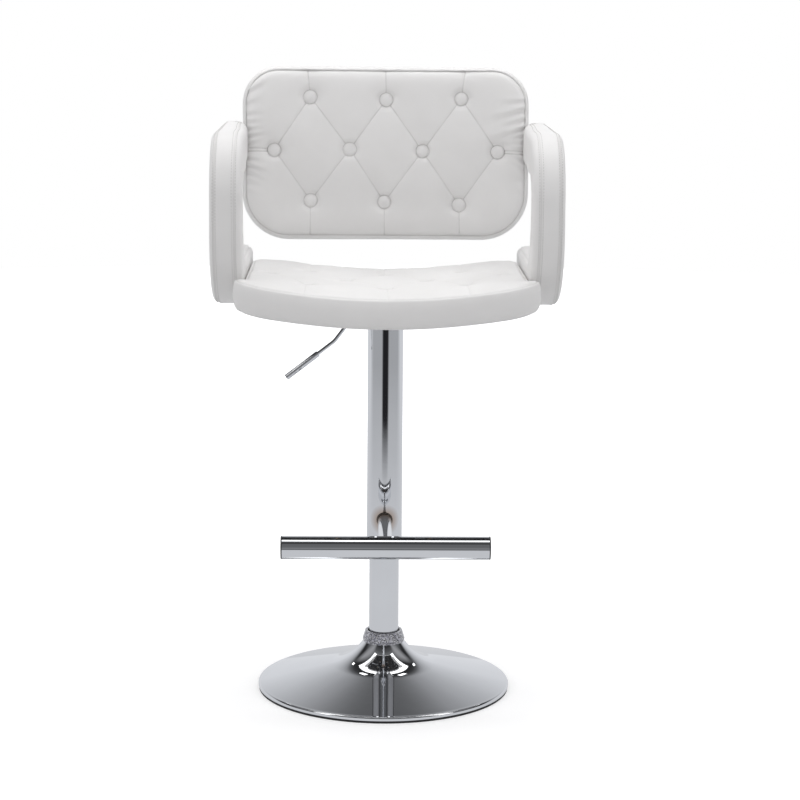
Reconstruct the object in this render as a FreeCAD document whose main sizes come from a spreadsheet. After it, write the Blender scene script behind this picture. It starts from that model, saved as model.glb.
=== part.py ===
import FreeCAD, Part
import math
import os

import Sketcher
from FreeCAD import Placement, Rotation, Vector

# Height-adjustable swivel stool with a tufted seat, a tufted back and C-shaped padded arms.
# Millimetres. The origin is on the column's axis at floor level, +Z is up, the sitter faces -Y.

DIMENSIONS = {
    # trumpet foot
    "base_dia": 410,
    "rim_top": 10,
    "rim_roll": 3,
    "shell_wall": 1.5,
    "flare_dia": 175,
    "flare_height": 38,
    "flare_radius": 93,
    "neck_width": 9.5,
    "neck_height": 76,
    "rubber_height": 4,
    "rubber_width": 16,
    "rubber_inset": 0.8,
    "ballast_inset": 10,
    "ballast_thick": 5,
    "ballast_hole": 50,
    "hub_wall": 5,
    "hub_flange": 20,
    "hub_flange_thick": 3,
    "hub_lip": 3,
    # column and its collar
    "column_dia": 48,
    "column_wall": 2,
    "column_foot": 10,
    "column_top": 450,
    "taper_top": 60,
    "taper_drop": 1,
    "fit_gap": 0.05,
    "floor_thick": 5,
    "floor_hole": 11,
    "collar_height": 18,
    "collar_swell": 0.6,
    "collar_crown_width": 6,
    "collar_gap": 0.3,
    "gasket_height": 3,
    "gasket_width": 2,
    # thrust bearing under the piston rod
    "race_dia": 28,
    "race_thick": 2,
    "race_hole": 12,
    "ball_dia": 3.96,
    "ball_play": 0.02,
    "ball_circle": 20,
    "cage_thick": 1.6,
    "cage_width": 7,
    # gas spring
    "rod_dia": 10,
    "rod_foot_dia": 9,
    "rod_end": 6,
    "rod_top": 440,
    "clip_dia": 16,
    "clip_groove_dia": 7.2,
    "clip_thick": 1.1,
    "clip_base": 8.05,
    "washer_thick": 1.5,
    "washer_dia": 20,
    "piston_base": 420,
    "piston_thick": 16,
    "cylinder_dia": 28,
    "cylinder_wall": 1.8,
    "cylinder_foot": 245,
    "cylinder_taper": 60,
    "cylinder_drop": 1.05,
    "valve_length": 50,
    "guide_length": 20,
    "bush_length": 75,
    "bush_flange": 3,
    "pin_dia": 5,
    "pin_head_dia": 8,
    "pin_head_thick": 3.1,
    "pin_rise": 7.7,
    # outer sleeve and footrest
    "sleeve_wall": 1.5,
    "sleeve_foot": 240,
    "sleeve_bush_wall": 2.9,
    "sleeve_bush_length": 22,
    "spigot_length": 26,
    "spigot_wall": 3.3,
    "screw_dia": 6,
    "screw_head_dia": 11,
    "screw_head_thick": 3,
    "screw_drop": 13,
    "bar_dia": 35.5,
    "bar_wall": 1.5,
    "bar_length": 321,
    "bar_reach": 215,
    "bar_height": 284,
    "cap_thick": 2,
    "cap_depth": 12,
    "stub_dia": 22,
    "stub_wall": 2,
    # mechanism under the seat
    "mechanism_height": 21,
    "socket_dia": 38,
    "socket_length": 60,
    "plate_width": 156,
    "plate_depth": 150,
    "plate_corner": 12,
    "plate_thick": 3,
    "plate_inset": 2.7,
    "plate_bolt_x": 62,
    "plate_bolt_y": 60,
    "housing_width": 84,
    "housing_depth": 110,
    "housing_wall": 3,
    "ear_thick": 3,
    "ear_width": 12,
    "ear_height": 13,
    "bolt_dia": 8,
    "bolt_head": 13,
    "bolt_head_thick": 5,
    "bolt_washer_dia": 18,
    "bolt_washer_thick": 1.6,
    "nut_barrel": 10,
    "nut_flange": 20,
    "nut_flange_thick": 1.5,
    "nut_room": 0.2,
    "nut_sink": 0.6,
    "bolt_room": 0.3,
    # lever
    "lever_dia": 6,
    "lever_rise": 8,
    "lever_pivot": 30,
    "lever_tip": 3,
    "lever_hub_dia": 10,
    "lever_hub_width": 9.6,
    "lever_pin_dia": 4,
    "lever_elbow": 53.5,
    "lever_drop": 47.5,
    "lever_tail": 94.8,
    "lever_steep": 53,
    "lever_slope": 37.7,
    "lever_elbow_bend": 12,
    "lever_knee_bend": 30,
    "grip_dia": 9.8,
    "grip_length": 64,
    "grip_cap": 2,
    # seat
    "seat_height": 619,
    "seat_width": 441,
    "seat_thick": 49,
    "seat_saddle": 1200,
    "seat_front": 215,
    "seat_rear": 190,
    "seat_bow": 8,
    "seat_ear": 13.5,
    "seat_ear_gap": 9,
    "seat_corner_width": 58,
    "seat_corner_depth": 50,
    "seat_corner_radius": 64,
    "seat_rear_corner": 70,
    "board_thick": 12,
    "board_inset": 12,
    "board_gap": 0.2,
    "skin_thick": 1,
    # arms
    "arm_gap": 0.5,
    "arm_width": 50,
    "arm_thick": 70,
    "arm_corner": 14,
    "arm_rise": 52,
    "arm_height": 202,
    "arm_front": 128,
    "arm_low_bend": 100,
    "arm_high_bend": 63,
    "arm_overrun": 5,
    "arm_tube": 20,
    "arm_tube_wall": 2,
    "arm_tube_inset": 8,
    "tube_overrun": 3,
    "tube_cover": 3,
    "angle_thick": 3,
    "frame_gap": 0.15,
    "angle_foot": 61,
    "angle_rise": 22,
    "angle_front": 0,
    "angle_length": 130,
    "angle_bolt_inset": 32,
    "standoff_dia": 16,
    "standoff_inset": 25,
    "arm_bolt_inset": 35,
    "arm_bolt_dia": 6,
    "arm_bolt_head": 10,
    "arm_bolt_head_thick": 4,
    # back
    "back_overlap": 18,
    "back_height": 288,
    "back_thick": 53,
    "back_curve": 1000,
    "back_setback": 26,
    "back_drop": 16,
    "back_recline": 4,
    "back_top_corner": 62,
    "back_low_corner": 78,
    "back_foam": 34,
    "back_gap": 0.4,
    "lug_thick": 3,
    "lug_height": 50,
    "lug_margin": 4,
    "lug_foot": 36,
    "lug_bolt_inset": 14,
    "lug_bolt_z": 14,
    "lug_head_dia": 12,
    "lug_head_thick": 3,
    # tufting buttons
    "button_dia": 22.6,
    "button_edge": 2,
    "button_dome": 6,
    "button_sink": 9,
    "button_room": 1,
    "button_gap": 0.3,
    "tuft_x": 124,
    "back_tuft_z": 86.5,
    "back_tuft_mid": 4.5,
    "seat_tuft_y": 88,
    "seat_tuft_mid": -12,
}

doc = FreeCAD.newDocument("SwivelStool")


# ---------------------------------------------------------------- sizes and expressions


class Size:
    """A length with both its present value and the sheet expression that drives it."""

    def __init__(self, value, text):
        self.value = value
        self.text = text

    def __add__(self, other):
        return Size(self.value + value_of(other), f"({self.text} + {text_of(other)})")

    def __radd__(self, other):
        return Size(value_of(other) + self.value, f"({text_of(other)} + {self.text})")

    def __sub__(self, other):
        return Size(self.value - value_of(other), f"({self.text} - {text_of(other)})")

    def __rsub__(self, other):
        return Size(value_of(other) - self.value, f"({text_of(other)} - {self.text})")

    def __mul__(self, other):
        return Size(self.value * value_of(other), f"({self.text} * {text_of(other)})")

    __rmul__ = __mul__

    def __truediv__(self, other):
        return Size(self.value / value_of(other), f"({self.text} / {text_of(other)})")

    def __neg__(self):
        return Size(-self.value, f"(0 - {self.text})")


def value_of(size):
    return size.value if isinstance(size, Size) else float(size)


def text_of(size):
    return size.text if isinstance(size, Size) else f"({float(size)!r})"


def root_of(size):
    return Size(math.sqrt(value_of(size)), f"sqrt({text_of(size)})")


def sine(degrees):
    return Size(math.sin(math.radians(value_of(degrees))), f"sin({text_of(degrees)} * 1deg)")


def cosine(degrees):
    return Size(math.cos(math.radians(value_of(degrees))), f"cos({text_of(degrees)} * 1deg)")


def tangent(degrees):
    return Size(math.tan(math.radians(value_of(degrees))), f"tan({text_of(degrees)} * 1deg)")


def turn_for(offset, radius):
    """The angle, in degrees, whose sine is offset over radius."""
    value = math.degrees(math.asin(value_of(offset) / value_of(radius)))
    return Size(value, f"(asin({text_of(offset)} / {text_of(radius)}) / 1deg)")


class Sizes:
    """The spreadsheet's cells as attributes."""

    def __init__(self, sheet, dimensions):
        for row, (name, value) in enumerate(dimensions.items(), start=1):
            sheet.set(f"A{row}", str(value))
            sheet.setAlias(f"A{row}", name)
            setattr(self, name, Size(float(value), f"Dims.{name}"))


d = Sizes(doc.addObject("Spreadsheet::Sheet", "Dims"), DIMENSIONS)
doc.recompute()


# ---------------------------------------------------------------- sketch and feature helpers


def origin_plane(body, role):
    return next(f for f in body.Origin.OriginFeatures if f.Role == role)


def new_body(name):
    return doc.addObject("PartDesign::Body", name)


def new_sketch(body, role, offset=None):
    """A sketch on one of the body's origin planes, moved along its normal by offset."""
    sketch = body.newObject("Sketcher::SketchObject", f"{body.Name}_sketch")
    sketch.AttachmentSupport = [(origin_plane(body, role), "")]
    sketch.MapMode = "FlatFace"
    if offset is not None:
        sketch.setExpression("AttachmentOffset.Base.z", text_of(offset))
    return sketch


def fix_point(sketch, curve, end, x, y):
    """Hold one end of a curve at (x, y), each bound to its expression."""
    for kind, axis, size in (("DistanceX", -2, x), ("DistanceY", -1, y)):
        if not isinstance(size, Size) and size == 0:
            sketch.addConstraint(Sketcher.Constraint("PointOnObject", curve, end, axis))
            continue
        rule = Sketcher.Constraint(kind, -1, 1, curve, end, value_of(size))
        sketch.setExpression(f"Constraints[{sketch.addConstraint(rule)}]", text_of(size))


def arc_between(a, b, radius):
    """The arc from a to b: a positive radius runs counter-clockwise, a negative one clockwise."""
    chord = b - a
    side = Vector(-chord.y, chord.x, 0).normalize() * math.copysign(1, radius)
    rise = math.sqrt(max(radius**2 - chord.Length**2 / 4, 0))
    centre = (a + b) / 2 + side * rise
    first, last = (a, b) if radius > 0 else (b, a)
    start = math.atan2(first.y - centre.y, first.x - centre.x)
    end = math.atan2(last.y - centre.y, last.x - centre.x)
    return Part.ArcOfCircle(Part.Circle(centre, Vector(0, 0, 1), abs(radius)), start, end)


def bend_radius(a, b, heading):
    """The signed radius of the arc from a to b that leaves a along heading."""
    chord = b - a
    side = Vector(-heading.y, heading.x, 0).normalize()
    return chord.Length**2 / (2 * chord.dot(side))


def outline(sketch, corners, closed=True):
    """Draw corners (x, y), (x, y, radius) or (x, y, "bend"). The third value describes the arc
    that arrives at the corner: its signed radius, or a bend that leaves the last line smoothly."""
    count = len(corners)
    spots = [Vector(value_of(c[0]), value_of(c[1]), 0) for c in corners]
    steps = range(count if closed else count - 1)
    ends = []
    heading = None
    for i in steps:
        a = spots[i]
        b = spots[(i + 1) % count]
        arc = corners[(i + 1) % count][2] if len(corners[(i + 1) % count]) > 2 else None
        if arc is None:
            sketch.addGeometry(Part.LineSegment(a, b), False)
            heading = b - a
            ends.append((1, 2))
            continue
        radius = bend_radius(a, b, heading) if arc == "bend" else value_of(arc)
        sketch.addGeometry(arc_between(a, b, radius), False)
        ends.append((1, 2) if radius > 0 else (2, 1))
        if arc != "bend":
            rule = Sketcher.Constraint("Radius", i, abs(radius))
            size = arc if radius > 0 else -arc
            sketch.setExpression(f"Constraints[{sketch.addConstraint(rule)}]", text_of(size))
    for i in steps:
        fix_point(sketch, i, ends[i][0], corners[i][0], corners[i][1])
        last = i + 1 == count or (not closed and i + 1 == count - 1)
        after = (i + 1) % count
        if last and not closed:
            fix_point(sketch, i, ends[i][1], corners[after][0], corners[after][1])
            continue
        arc = corners[(after + 1) % count]
        smooth = len(arc) > 2 and arc[2] == "bend"
        kind = "Tangent" if smooth else "Coincident"
        rule = Sketcher.Constraint(kind, i, ends[i][1], after, ends[after][0])
        sketch.addConstraint(rule)
    return sketch


def circle(sketch, x, y, radius):
    spot = Vector(value_of(x), value_of(y), 0)
    curve = sketch.addGeometry(Part.Circle(spot, Vector(0, 0, 1), value_of(radius)), False)
    fix_point(sketch, curve, 3, x, y)
    rule = Sketcher.Constraint("Radius", curve, value_of(radius))
    sketch.setExpression(f"Constraints[{sketch.addConstraint(rule)}]", text_of(radius))
    return sketch


def dome(radius, rise):
    """Radius of the shallow dome of the given foot radius and rise."""
    return (radius * radius + rise * rise) / (2 * rise)


def add_feature(body, kind, sketch):
    feature = body.newObject(f"PartDesign::{kind}", f"{body.Name}_{kind.lower()}")
    feature.Profile = (sketch, [""])
    return feature


def pad(body, sketch, length, both_ways=False, reverse=False):
    feature = add_feature(body, "Pad", sketch)
    feature.setExpression("Length", text_of(length))
    feature.Midplane = both_ways
    feature.Reversed = reverse
    return feature


def pocket(body, sketch, length, both_ways=False, reverse=False):
    """A pocket that must take material away."""
    doc.recompute()
    before = body.Shape.Volume
    feature = add_feature(body, "Pocket", sketch)
    feature.setExpression("Length", text_of(length))
    feature.Midplane = both_ways
    feature.Reversed = reverse
    doc.recompute()
    if body.Shape.Volume >= before:
        raise RuntimeError(f"the pocket of {body.Name} cuts nothing")
    return feature


def lathe(name, corners, role="XZ_Plane", axis="V_Axis"):
    """A body of revolution from its half section."""
    body = new_body(name)
    sketch = outline(new_sketch(body, role), corners)
    feature = add_feature(body, "Revolution", sketch)
    feature.ReferenceAxis = (sketch, [axis])
    feature.Angle = 360
    return body


def pipe(body, profile, spine):
    feature = add_feature(body, "AdditivePipe", profile)
    doc.recompute()
    edges = [f"Edge{i + 1}" for i in range(len(spine.Shape.Edges))]
    feature.Spine = (spine, edges)
    return feature


def prism(name, role, corners, length, offset=None, both_ways=False, reverse=False):
    """A body made by one pad."""
    body = new_body(name)
    sketch = outline(new_sketch(body, role, offset), corners)
    pad(body, sketch, length, both_ways, reverse)
    return body


def place(thing, x=0, y=0, z=0, axis=None, angle=0):
    """Bind a placement: a turn about axis by angle in degrees, then a move."""
    if axis is not None:
        thing.Placement = Placement(Vector(), Rotation(Vector(*axis), value_of(angle)))
        thing.setExpression("Placement.Rotation.Angle", text_of(angle))
    for letter, size in (("x", x), ("y", y), ("z", z)):
        thing.setExpression(f"Placement.Base.{letter}", text_of(size))
    return thing


def cut(name, base, tool):
    thing = doc.addObject("Part::Cut", name)
    thing.Base = base
    thing.Tool = tool
    return thing


def common(name, base, tool):
    thing = doc.addObject("Part::Common", name)
    thing.Base = base
    thing.Tool = tool
    return thing


def fuse(name, base, *tools):
    """Join pieces one by one; the last join has the name."""
    for count, tool in enumerate(tools, start=1):
        thing = doc.addObject("Part::Fuse", name if count == len(tools) else f"{name}_{count}")
        thing.Base = base
        thing.Tool = tool
        base = thing
    return base


def mirrored(name, source):
    """The same piece on the other side of the stool's middle plane."""
    thing = doc.addObject("Part::Mirroring", name)
    thing.Source = source
    thing.Normal = Vector(1, 0, 0)
    return thing


def cluster(name, piece, places):
    """One piece repeated at each place, as a group of separate solids."""
    links = []
    for where in places:
        link = doc.addObject("App::Link", f"{name}_item")
        link.LinkedObject = piece
        links.append(place(link, **where))
    thing = doc.addObject("Part::Compound", name)
    thing.Links = links
    return thing


def ring(name, inner, outer, low, high):
    """A plain washer-shaped body."""
    return lathe(name, [(inner, low), (outer, low), (outer, high), (inner, high)])


def hexagon(width):
    """Corners of a hexagon of the given width across flats."""
    reach = width / (2 * cosine(30))
    return [(reach * cosine(60 * k + 30), reach * sine(60 * k + 30)) for k in range(6)]


def hex_bolt(name, width, head, shank, length):
    """A hexagon bolt standing on its head, with the underside of the head at z = 0."""
    body = new_body(name)
    pad(body, outline(new_sketch(body, "XY_Plane"), hexagon(width)), head, reverse=True)
    pad(body, circle(new_sketch(body, "XY_Plane"), 0, 0, shank / 2), length)
    return body


# ---------------------------------------------------------------- shared places

base_r = d.base_dia / 2
flare_r = d.flare_dia / 2
column_r = d.column_dia / 2
column_bore = column_r - d.column_wall
neck_r = column_r + d.neck_width
sleeve_bore = column_r + d.sleeve_bush_wall + 2 * d.fit_gap
sleeve_r = sleeve_bore + d.sleeve_wall
cylinder_r = d.cylinder_dia / 2
cylinder_bore = cylinder_r - d.cylinder_wall
cylinder_top = d.seat_height - d.mechanism_height
rod_r = d.rod_dia / 2
rod_foot_r = d.rod_foot_dia / 2
pin_r = d.pin_dia / 2
bar_r = d.bar_dia / 2
lever_r = d.lever_dia / 2
ballast_top = d.rubber_height + d.ballast_thick
hub_top = d.neck_height - 1
floor_low = d.column_foot + 1
floor_top = floor_low + d.floor_thick
ball_z = floor_top + d.race_thick + d.ball_dia / 2 + d.ball_play
upper_race_low = ball_z + d.ball_dia / 2 + d.ball_play
rod_shoulder = upper_race_low + d.race_thick
sleeve_top = cylinder_top - 1
housing_floor = cylinder_top + d.housing_wall
lever_z = housing_floor + d.lever_rise
plate_top = d.seat_height + d.skin_thick + d.plate_inset
plate_low = plate_top - d.plate_thick
saddle_z = d.seat_height + d.seat_saddle
board_low_r = d.seat_saddle - d.skin_thick
board_top_r = board_low_r - d.board_thick
seat_top_r = d.seat_saddle - d.seat_thick
seat_waist = d.seat_width / 2
arm_inner = seat_waist + d.arm_gap
arm_middle = arm_inner + d.arm_width / 2
arm_low = d.seat_height + d.arm_rise
arm_high = arm_low + d.arm_height
arm_low_end = d.seat_rear + d.arm_overrun
arm_bolt_x = arm_inner - d.arm_bolt_inset
back_half = arm_inner + d.back_overlap
back_y = d.seat_rear + d.back_setback
back_z = arm_high - d.back_drop
lug_bolt_x = arm_inner - d.lug_bolt_inset


def saddle_height(x, radius):
    """Height of the cylinder of the given radius about the saddle's axis, at x."""
    return saddle_z - root_of(radius * radius - x * x)


# ---------------------------------------------------------------- trumpet foot


def base_shell():
    """Spun and chromed trumpet with a rolled outer edge."""
    inner_edge = base_r - d.shell_wall
    roll = d.rim_top - d.rim_roll
    return lathe(
        "base_shell",
        [
            (base_r, d.rubber_height),
            (base_r, roll),
            (base_r - d.rim_roll, d.rim_top, d.rim_roll),
            (flare_r, d.flare_height),
            (neck_r, d.neck_height, -d.flare_radius),
            (neck_r - 1.2 * d.shell_wall, d.neck_height),
            (flare_r - d.shell_wall / 4, d.flare_height - d.shell_wall, d.flare_radius + d.shell_wall),
            (base_r - d.rim_roll, d.rim_top - d.shell_wall),
            (inner_edge, roll, -(d.rim_roll - d.shell_wall)),
            (inner_edge, d.rubber_height),
        ],
    )


def rubber_rim():
    """Ring that keeps the metal off the floor."""
    outer = base_r - d.rubber_inset
    return ring("rubber_rim", outer - d.rubber_width, outer, 0, d.rubber_height)


def ballast_plate():
    """Heavy steel disc inside the foot, resting on the rubber ring."""
    outer = base_r - d.ballast_inset
    return ring("ballast_plate", d.ballast_hole / 2, outer, d.rubber_height, ballast_top)


def base_hub():
    """Tapered socket welded to the ballast plate; its lip centres the trumpet's neck."""
    foot_bore = column_r - d.taper_drop + d.fit_gap
    top_bore = column_r + d.fit_gap
    wall = column_r + d.hub_wall
    flange_top = ballast_top + d.hub_flange_thick
    lip = neck_r - 1.4 * d.shell_wall
    return lathe(
        "base_hub",
        [
            (foot_bore, ballast_top),
            (wall + d.hub_flange, ballast_top),
            (wall + d.hub_flange, flange_top),
            (wall, flange_top),
            (wall, hub_top - d.hub_lip),
            (lip, hub_top - d.hub_lip),
            (lip, hub_top),
            (top_bore, hub_top),
            (top_bore, d.taper_top),
            (foot_bore, d.column_foot),
        ],
    )


# ---------------------------------------------------------------- column and collar


def column_tube():
    """Fixed chromed tube, tapered where it sticks in the hub."""
    foot_r = column_r - d.taper_drop
    return lathe(
        "column_tube",
        [
            (foot_r, d.column_foot),
            (column_r, d.taper_top),
            (column_r, d.column_top),
            (column_bore, d.column_top),
            (column_bore, d.taper_top),
            (foot_r - d.column_wall, d.column_foot),
        ],
    )


def column_floor():
    """Disc welded in the column's foot; it carries the thrust bearing."""
    outer = column_bore - d.taper_drop - 2 * d.fit_gap
    return ring("column_floor", d.floor_hole / 2, outer, floor_low, floor_top)


def collar_ring():
    """Clear ornamental ring on top of the neck."""
    top = d.neck_height + d.collar_height
    swell = d.neck_height + d.collar_height / 4
    bore = column_r + d.collar_gap
    seat = top - d.gasket_height - d.fit_gap
    seat_bore = column_r + d.gasket_width + 2 * d.fit_gap
    return lathe(
        "collar_ring",
        [
            (bore, d.neck_height),
            (neck_r, d.neck_height),
            (neck_r + d.collar_swell, swell),
            (column_r + d.collar_crown_width, top),
            (seat_bore, top),
            (seat_bore, seat),
            (bore, seat),
        ],
    )


def collar_gasket():
    """Black ring that closes the gap between the collar and the column."""
    top = d.neck_height + d.collar_height - 4 * d.fit_gap
    inner = column_r + d.fit_gap
    return ring("collar_gasket", inner, column_r + d.gasket_width, top - d.gasket_height + 0.2, top)


def guide_bush():
    """Plastic bush in the column's top that guides the gas cylinder."""
    inner = cylinder_r + d.fit_gap
    outer = column_bore - d.fit_gap
    return lathe(
        "guide_bush",
        [
            (inner, d.column_top - d.bush_length),
            (outer, d.column_top - d.bush_length),
            (outer, d.column_top),
            (column_r, d.column_top),
            (column_r, d.column_top + d.bush_flange),
            (inner, d.column_top + d.bush_flange),
        ],
    )


# ---------------------------------------------------------------- thrust bearing


def ball_places():
    reach = d.ball_circle / 2
    return [dict(x=reach * cosine(36 * k), y=reach * sine(36 * k), z=ball_z) for k in range(10)]


def bearing_lower_race():
    return ring("bearing_lower_race", d.race_hole / 2, d.race_dia / 2, floor_top, floor_top + d.race_thick)


def bearing_balls():
    ball = doc.addObject("Part::Sphere", "bearing_ball")
    ball.setExpression("Radius", text_of(d.ball_dia / 2))
    return cluster("bearing_balls", ball, ball_places())


def bearing_cage():
    """Flat ring that keeps the balls apart."""
    half = d.cage_width / 2
    low = ball_z - d.cage_thick / 2
    middle = d.ball_circle / 2
    disc = ring("cage_disc", middle - half, middle + half, low, low + d.cage_thick)
    hole = lathe("cage_hole", [(0, -3), (d.ball_dia / 2 + 0.15, -3), (d.ball_dia / 2 + 0.15, 3), (0, 3)])
    return cut("bearing_cage", disc, cluster("cage_holes", hole, ball_places()))


def bearing_upper_race():
    inner = rod_foot_r + 2 * d.fit_gap
    return ring("bearing_upper_race", inner, d.race_dia / 2, upper_race_low, rod_shoulder)


# ---------------------------------------------------------------- gas spring


def piston_rod():
    """Rod that stands on the thrust bearing; its reduced foot passes through the column's floor."""
    groove = d.clip_groove_dia / 2
    groove_low = d.clip_base - d.fit_gap
    groove_top = d.clip_base + d.clip_thick + d.fit_gap
    return lathe(
        "piston_rod",
        [
            (0, d.rod_end),
            (rod_foot_r, d.rod_end),
            (rod_foot_r, groove_low),
            (groove, groove_low),
            (groove, groove_top),
            (rod_foot_r, groove_top),
            (rod_foot_r, rod_shoulder),
            (rod_r, rod_shoulder),
            (rod_r, d.rod_top),
            (0, d.rod_top),
        ],
    )


def rod_clip():
    inner = d.clip_groove_dia / 2 + d.fit_gap
    return ring("rod_clip", inner, d.clip_dia / 2, d.clip_base, d.clip_base + d.clip_thick)


def rod_washer():
    low = d.clip_base + d.clip_thick + 2 * d.fit_gap
    inner = rod_foot_r + 2 * d.fit_gap
    return ring("rod_washer", inner, d.washer_dia / 2, low, low + d.washer_thick)


def piston():
    """Seal and piston on the rod's top, inside the cylinder."""
    inner = rod_r + d.fit_gap / 2
    outer = cylinder_bore - 2 * d.fit_gap
    return ring("piston", inner, outer, d.piston_base, d.piston_base + d.piston_thick)


def gas_cylinder():
    """Pressure tube with a tapered top that sticks in the seat's socket."""
    top_r = cylinder_r - d.cylinder_drop
    chamber_top = cylinder_top - d.valve_length
    pin_bore = pin_r + d.fit_gap
    return lathe(
        "gas_cylinder",
        [
            (cylinder_r, d.cylinder_foot),
            (cylinder_r, cylinder_top - d.cylinder_taper),
            (top_r, cylinder_top),
            (pin_bore, cylinder_top),
            (pin_bore, chamber_top),
            (cylinder_bore, chamber_top),
            (cylinder_bore, d.cylinder_foot),
        ],
    )


def rod_guide():
    """Seal pack in the cylinder's mouth."""
    low = d.cylinder_foot + 1
    return ring("rod_guide", rod_r + d.fit_gap, cylinder_bore - d.fit_gap, low, low + d.guide_length)


def release_pin():
    """Push pin of the gas valve: a stem with a valve head inside and a domed button on top."""
    chamber_top = cylinder_top - d.valve_length
    top = cylinder_top + d.pin_rise
    head_r = d.pin_head_dia / 2
    head_low = top - d.pin_head_thick
    dome_edge = top - 1
    return lathe(
        "release_pin",
        [
            (0, chamber_top - 8),
            (head_r, chamber_top - 8),
            (head_r, chamber_top - 2),
            (pin_r, chamber_top - 2),
            (pin_r, head_low),
            (head_r, head_low),
            (head_r, dome_edge),
            (0, top, dome(head_r, 1)),
        ],
    )


# ---------------------------------------------------------------- sleeve and footrest


def screw_height():
    return cylinder_top - d.screw_drop


def screw_bore(name, extra):
    """Clearance bore for the sleeve screw, running towards +Y."""
    reach = d.screw_dia / 2 + extra
    bore = lathe(name, [(0, 0), (reach, 0), (reach, 2 * sleeve_r), (0, 2 * sleeve_r)], "XY_Plane")
    return place(bore, z=screw_height())


def sleeve_tube():
    """Chromed outer tube that rises with the seat and carries the footrest."""
    tube = ring("sleeve_blank", sleeve_bore, sleeve_r, d.sleeve_foot, sleeve_top)
    return cut("sleeve_tube", tube, screw_bore("sleeve_bore", 0.2))


def sleeve_bush():
    """Plastic end ring that slides on the column."""
    inner = column_r + d.fit_gap
    outer = sleeve_bore - d.fit_gap
    lip = d.sleeve_foot - d.bush_flange
    return lathe(
        "sleeve_bush",
        [
            (inner, lip),
            (sleeve_r, lip),
            (sleeve_r, d.sleeve_foot - d.fit_gap),
            (outer, d.sleeve_foot - d.fit_gap),
            (outer, d.sleeve_foot + d.sleeve_bush_length),
            (inner, d.sleeve_foot + d.sleeve_bush_length),
        ],
    )


def sleeve_spigot():
    """Ring welded under the housing; the sleeve is pushed over it."""
    outer = sleeve_bore - d.fit_gap
    inner = outer - d.spigot_wall
    low = cylinder_top - d.spigot_length
    blank = ring("spigot_ring", inner, outer, low, cylinder_top)
    return cut("sleeve_spigot", blank, screw_bore("spigot_bore", 0.02))


def sleeve_screw():
    """Button-head screw at the back that holds the sleeve on its spigot."""
    shank = d.screw_dia / 2
    tip = sleeve_bore - d.spigot_wall - 1
    head_r = d.screw_head_dia / 2
    seat = sleeve_r + 0.1
    edge = seat + d.screw_head_thick / 3
    top = seat + d.screw_head_thick
    body = lathe(
        "sleeve_screw",
        [
            (0, tip),
            (shank, tip),
            (shank, seat),
            (head_r, seat),
            (head_r, edge),
            (0, top, dome(head_r, top - edge)),
        ],
        "XY_Plane",
    )
    return place(body, z=screw_height())


def footrest_bar():
    """Cross tube for the feet."""
    half = d.bar_length / 2 - d.cap_thick
    bore = bar_r - d.bar_wall
    section = [(-half, bore), (half, bore), (half, bar_r), (-half, bar_r)]
    body = lathe("footrest_bar", section, "XY_Plane", "H_Axis")
    return place(body, y=-d.bar_reach, z=d.bar_height)


def footrest_cap_right():
    """End plug of the footrest bar."""
    end = d.bar_length / 2
    flange = end - d.cap_thick
    spigot = bar_r - d.bar_wall - d.fit_gap
    edge = d.cap_thick / 2
    body = lathe(
        "footrest_cap_right",
        [
            (flange - d.cap_depth, 0),
            (end, 0),
            (end, bar_r - edge),
            (end - edge, bar_r, edge),
            (flange, bar_r),
            (flange, spigot),
            (flange - d.cap_depth, spigot),
        ],
        "XY_Plane",
        "H_Axis",
    )
    return place(body, y=-d.bar_reach, z=d.bar_height)


def footrest_stub():
    """Short tube welded between the sleeve and the bar, coped to both."""
    body = new_body("stub_blank")
    sketch = new_sketch(body, "XZ_Plane")
    circle(sketch, 0, d.bar_height, d.stub_dia / 2)
    circle(sketch, 0, d.bar_height, d.stub_dia / 2 - d.stub_wall)
    pad(body, sketch, d.bar_reach)
    sleeve = ring_solid("stub_sleeve_cope", sleeve_r, d.sleeve_foot, sleeve_top)
    half = d.bar_length / 2
    section = [(-half, 0), (half, 0), (half, bar_r), (-half, bar_r)]
    bar = lathe("stub_bar_cope", section, "XY_Plane", "H_Axis")
    place(bar, y=-d.bar_reach, z=d.bar_height)
    return cut("footrest_stub", cut("stub_coped", body, sleeve), bar)


def ring_solid(name, radius, low, high):
    """A plain round block about the column's axis."""
    return lathe(name, [(0, low), (radius, low), (radius, high), (0, high)])


# ---------------------------------------------------------------- mechanism under the seat


def cylinder_socket():
    """Tapered socket that grips the gas cylinder."""
    foot = cylinder_top - d.socket_length + d.housing_wall
    rise = foot - (cylinder_top - d.cylinder_taper)
    top_bore = cylinder_r - d.cylinder_drop + d.fit_gap
    foot_bore = cylinder_r - d.cylinder_drop * rise / d.cylinder_taper + d.fit_gap
    outer = d.socket_dia / 2
    return lathe(
        "cylinder_socket",
        [
            (foot_bore, foot),
            (outer, foot),
            (outer, housing_floor),
            (top_bore, housing_floor),
            (top_bore, cylinder_top),
        ],
    )


def rounded_box(half_x, half_y, corner):
    """Corners of a rounded rectangle about the origin."""
    return [
        (corner - half_x, -half_y, "bend"),
        (half_x - corner, -half_y),
        (half_x, corner - half_y, "bend"),
        (half_x, half_y - corner),
        (half_x - corner, half_y, "bend"),
        (corner - half_x, half_y),
        (-half_x, half_y - corner, "bend"),
        (-half_x, corner - half_y),
    ]


def plate_bolt_places(z):
    return [dict(x=a * d.plate_bolt_x, y=b * d.plate_bolt_y, z=z) for a in (-1, 1) for b in (-1, 1)]


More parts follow.
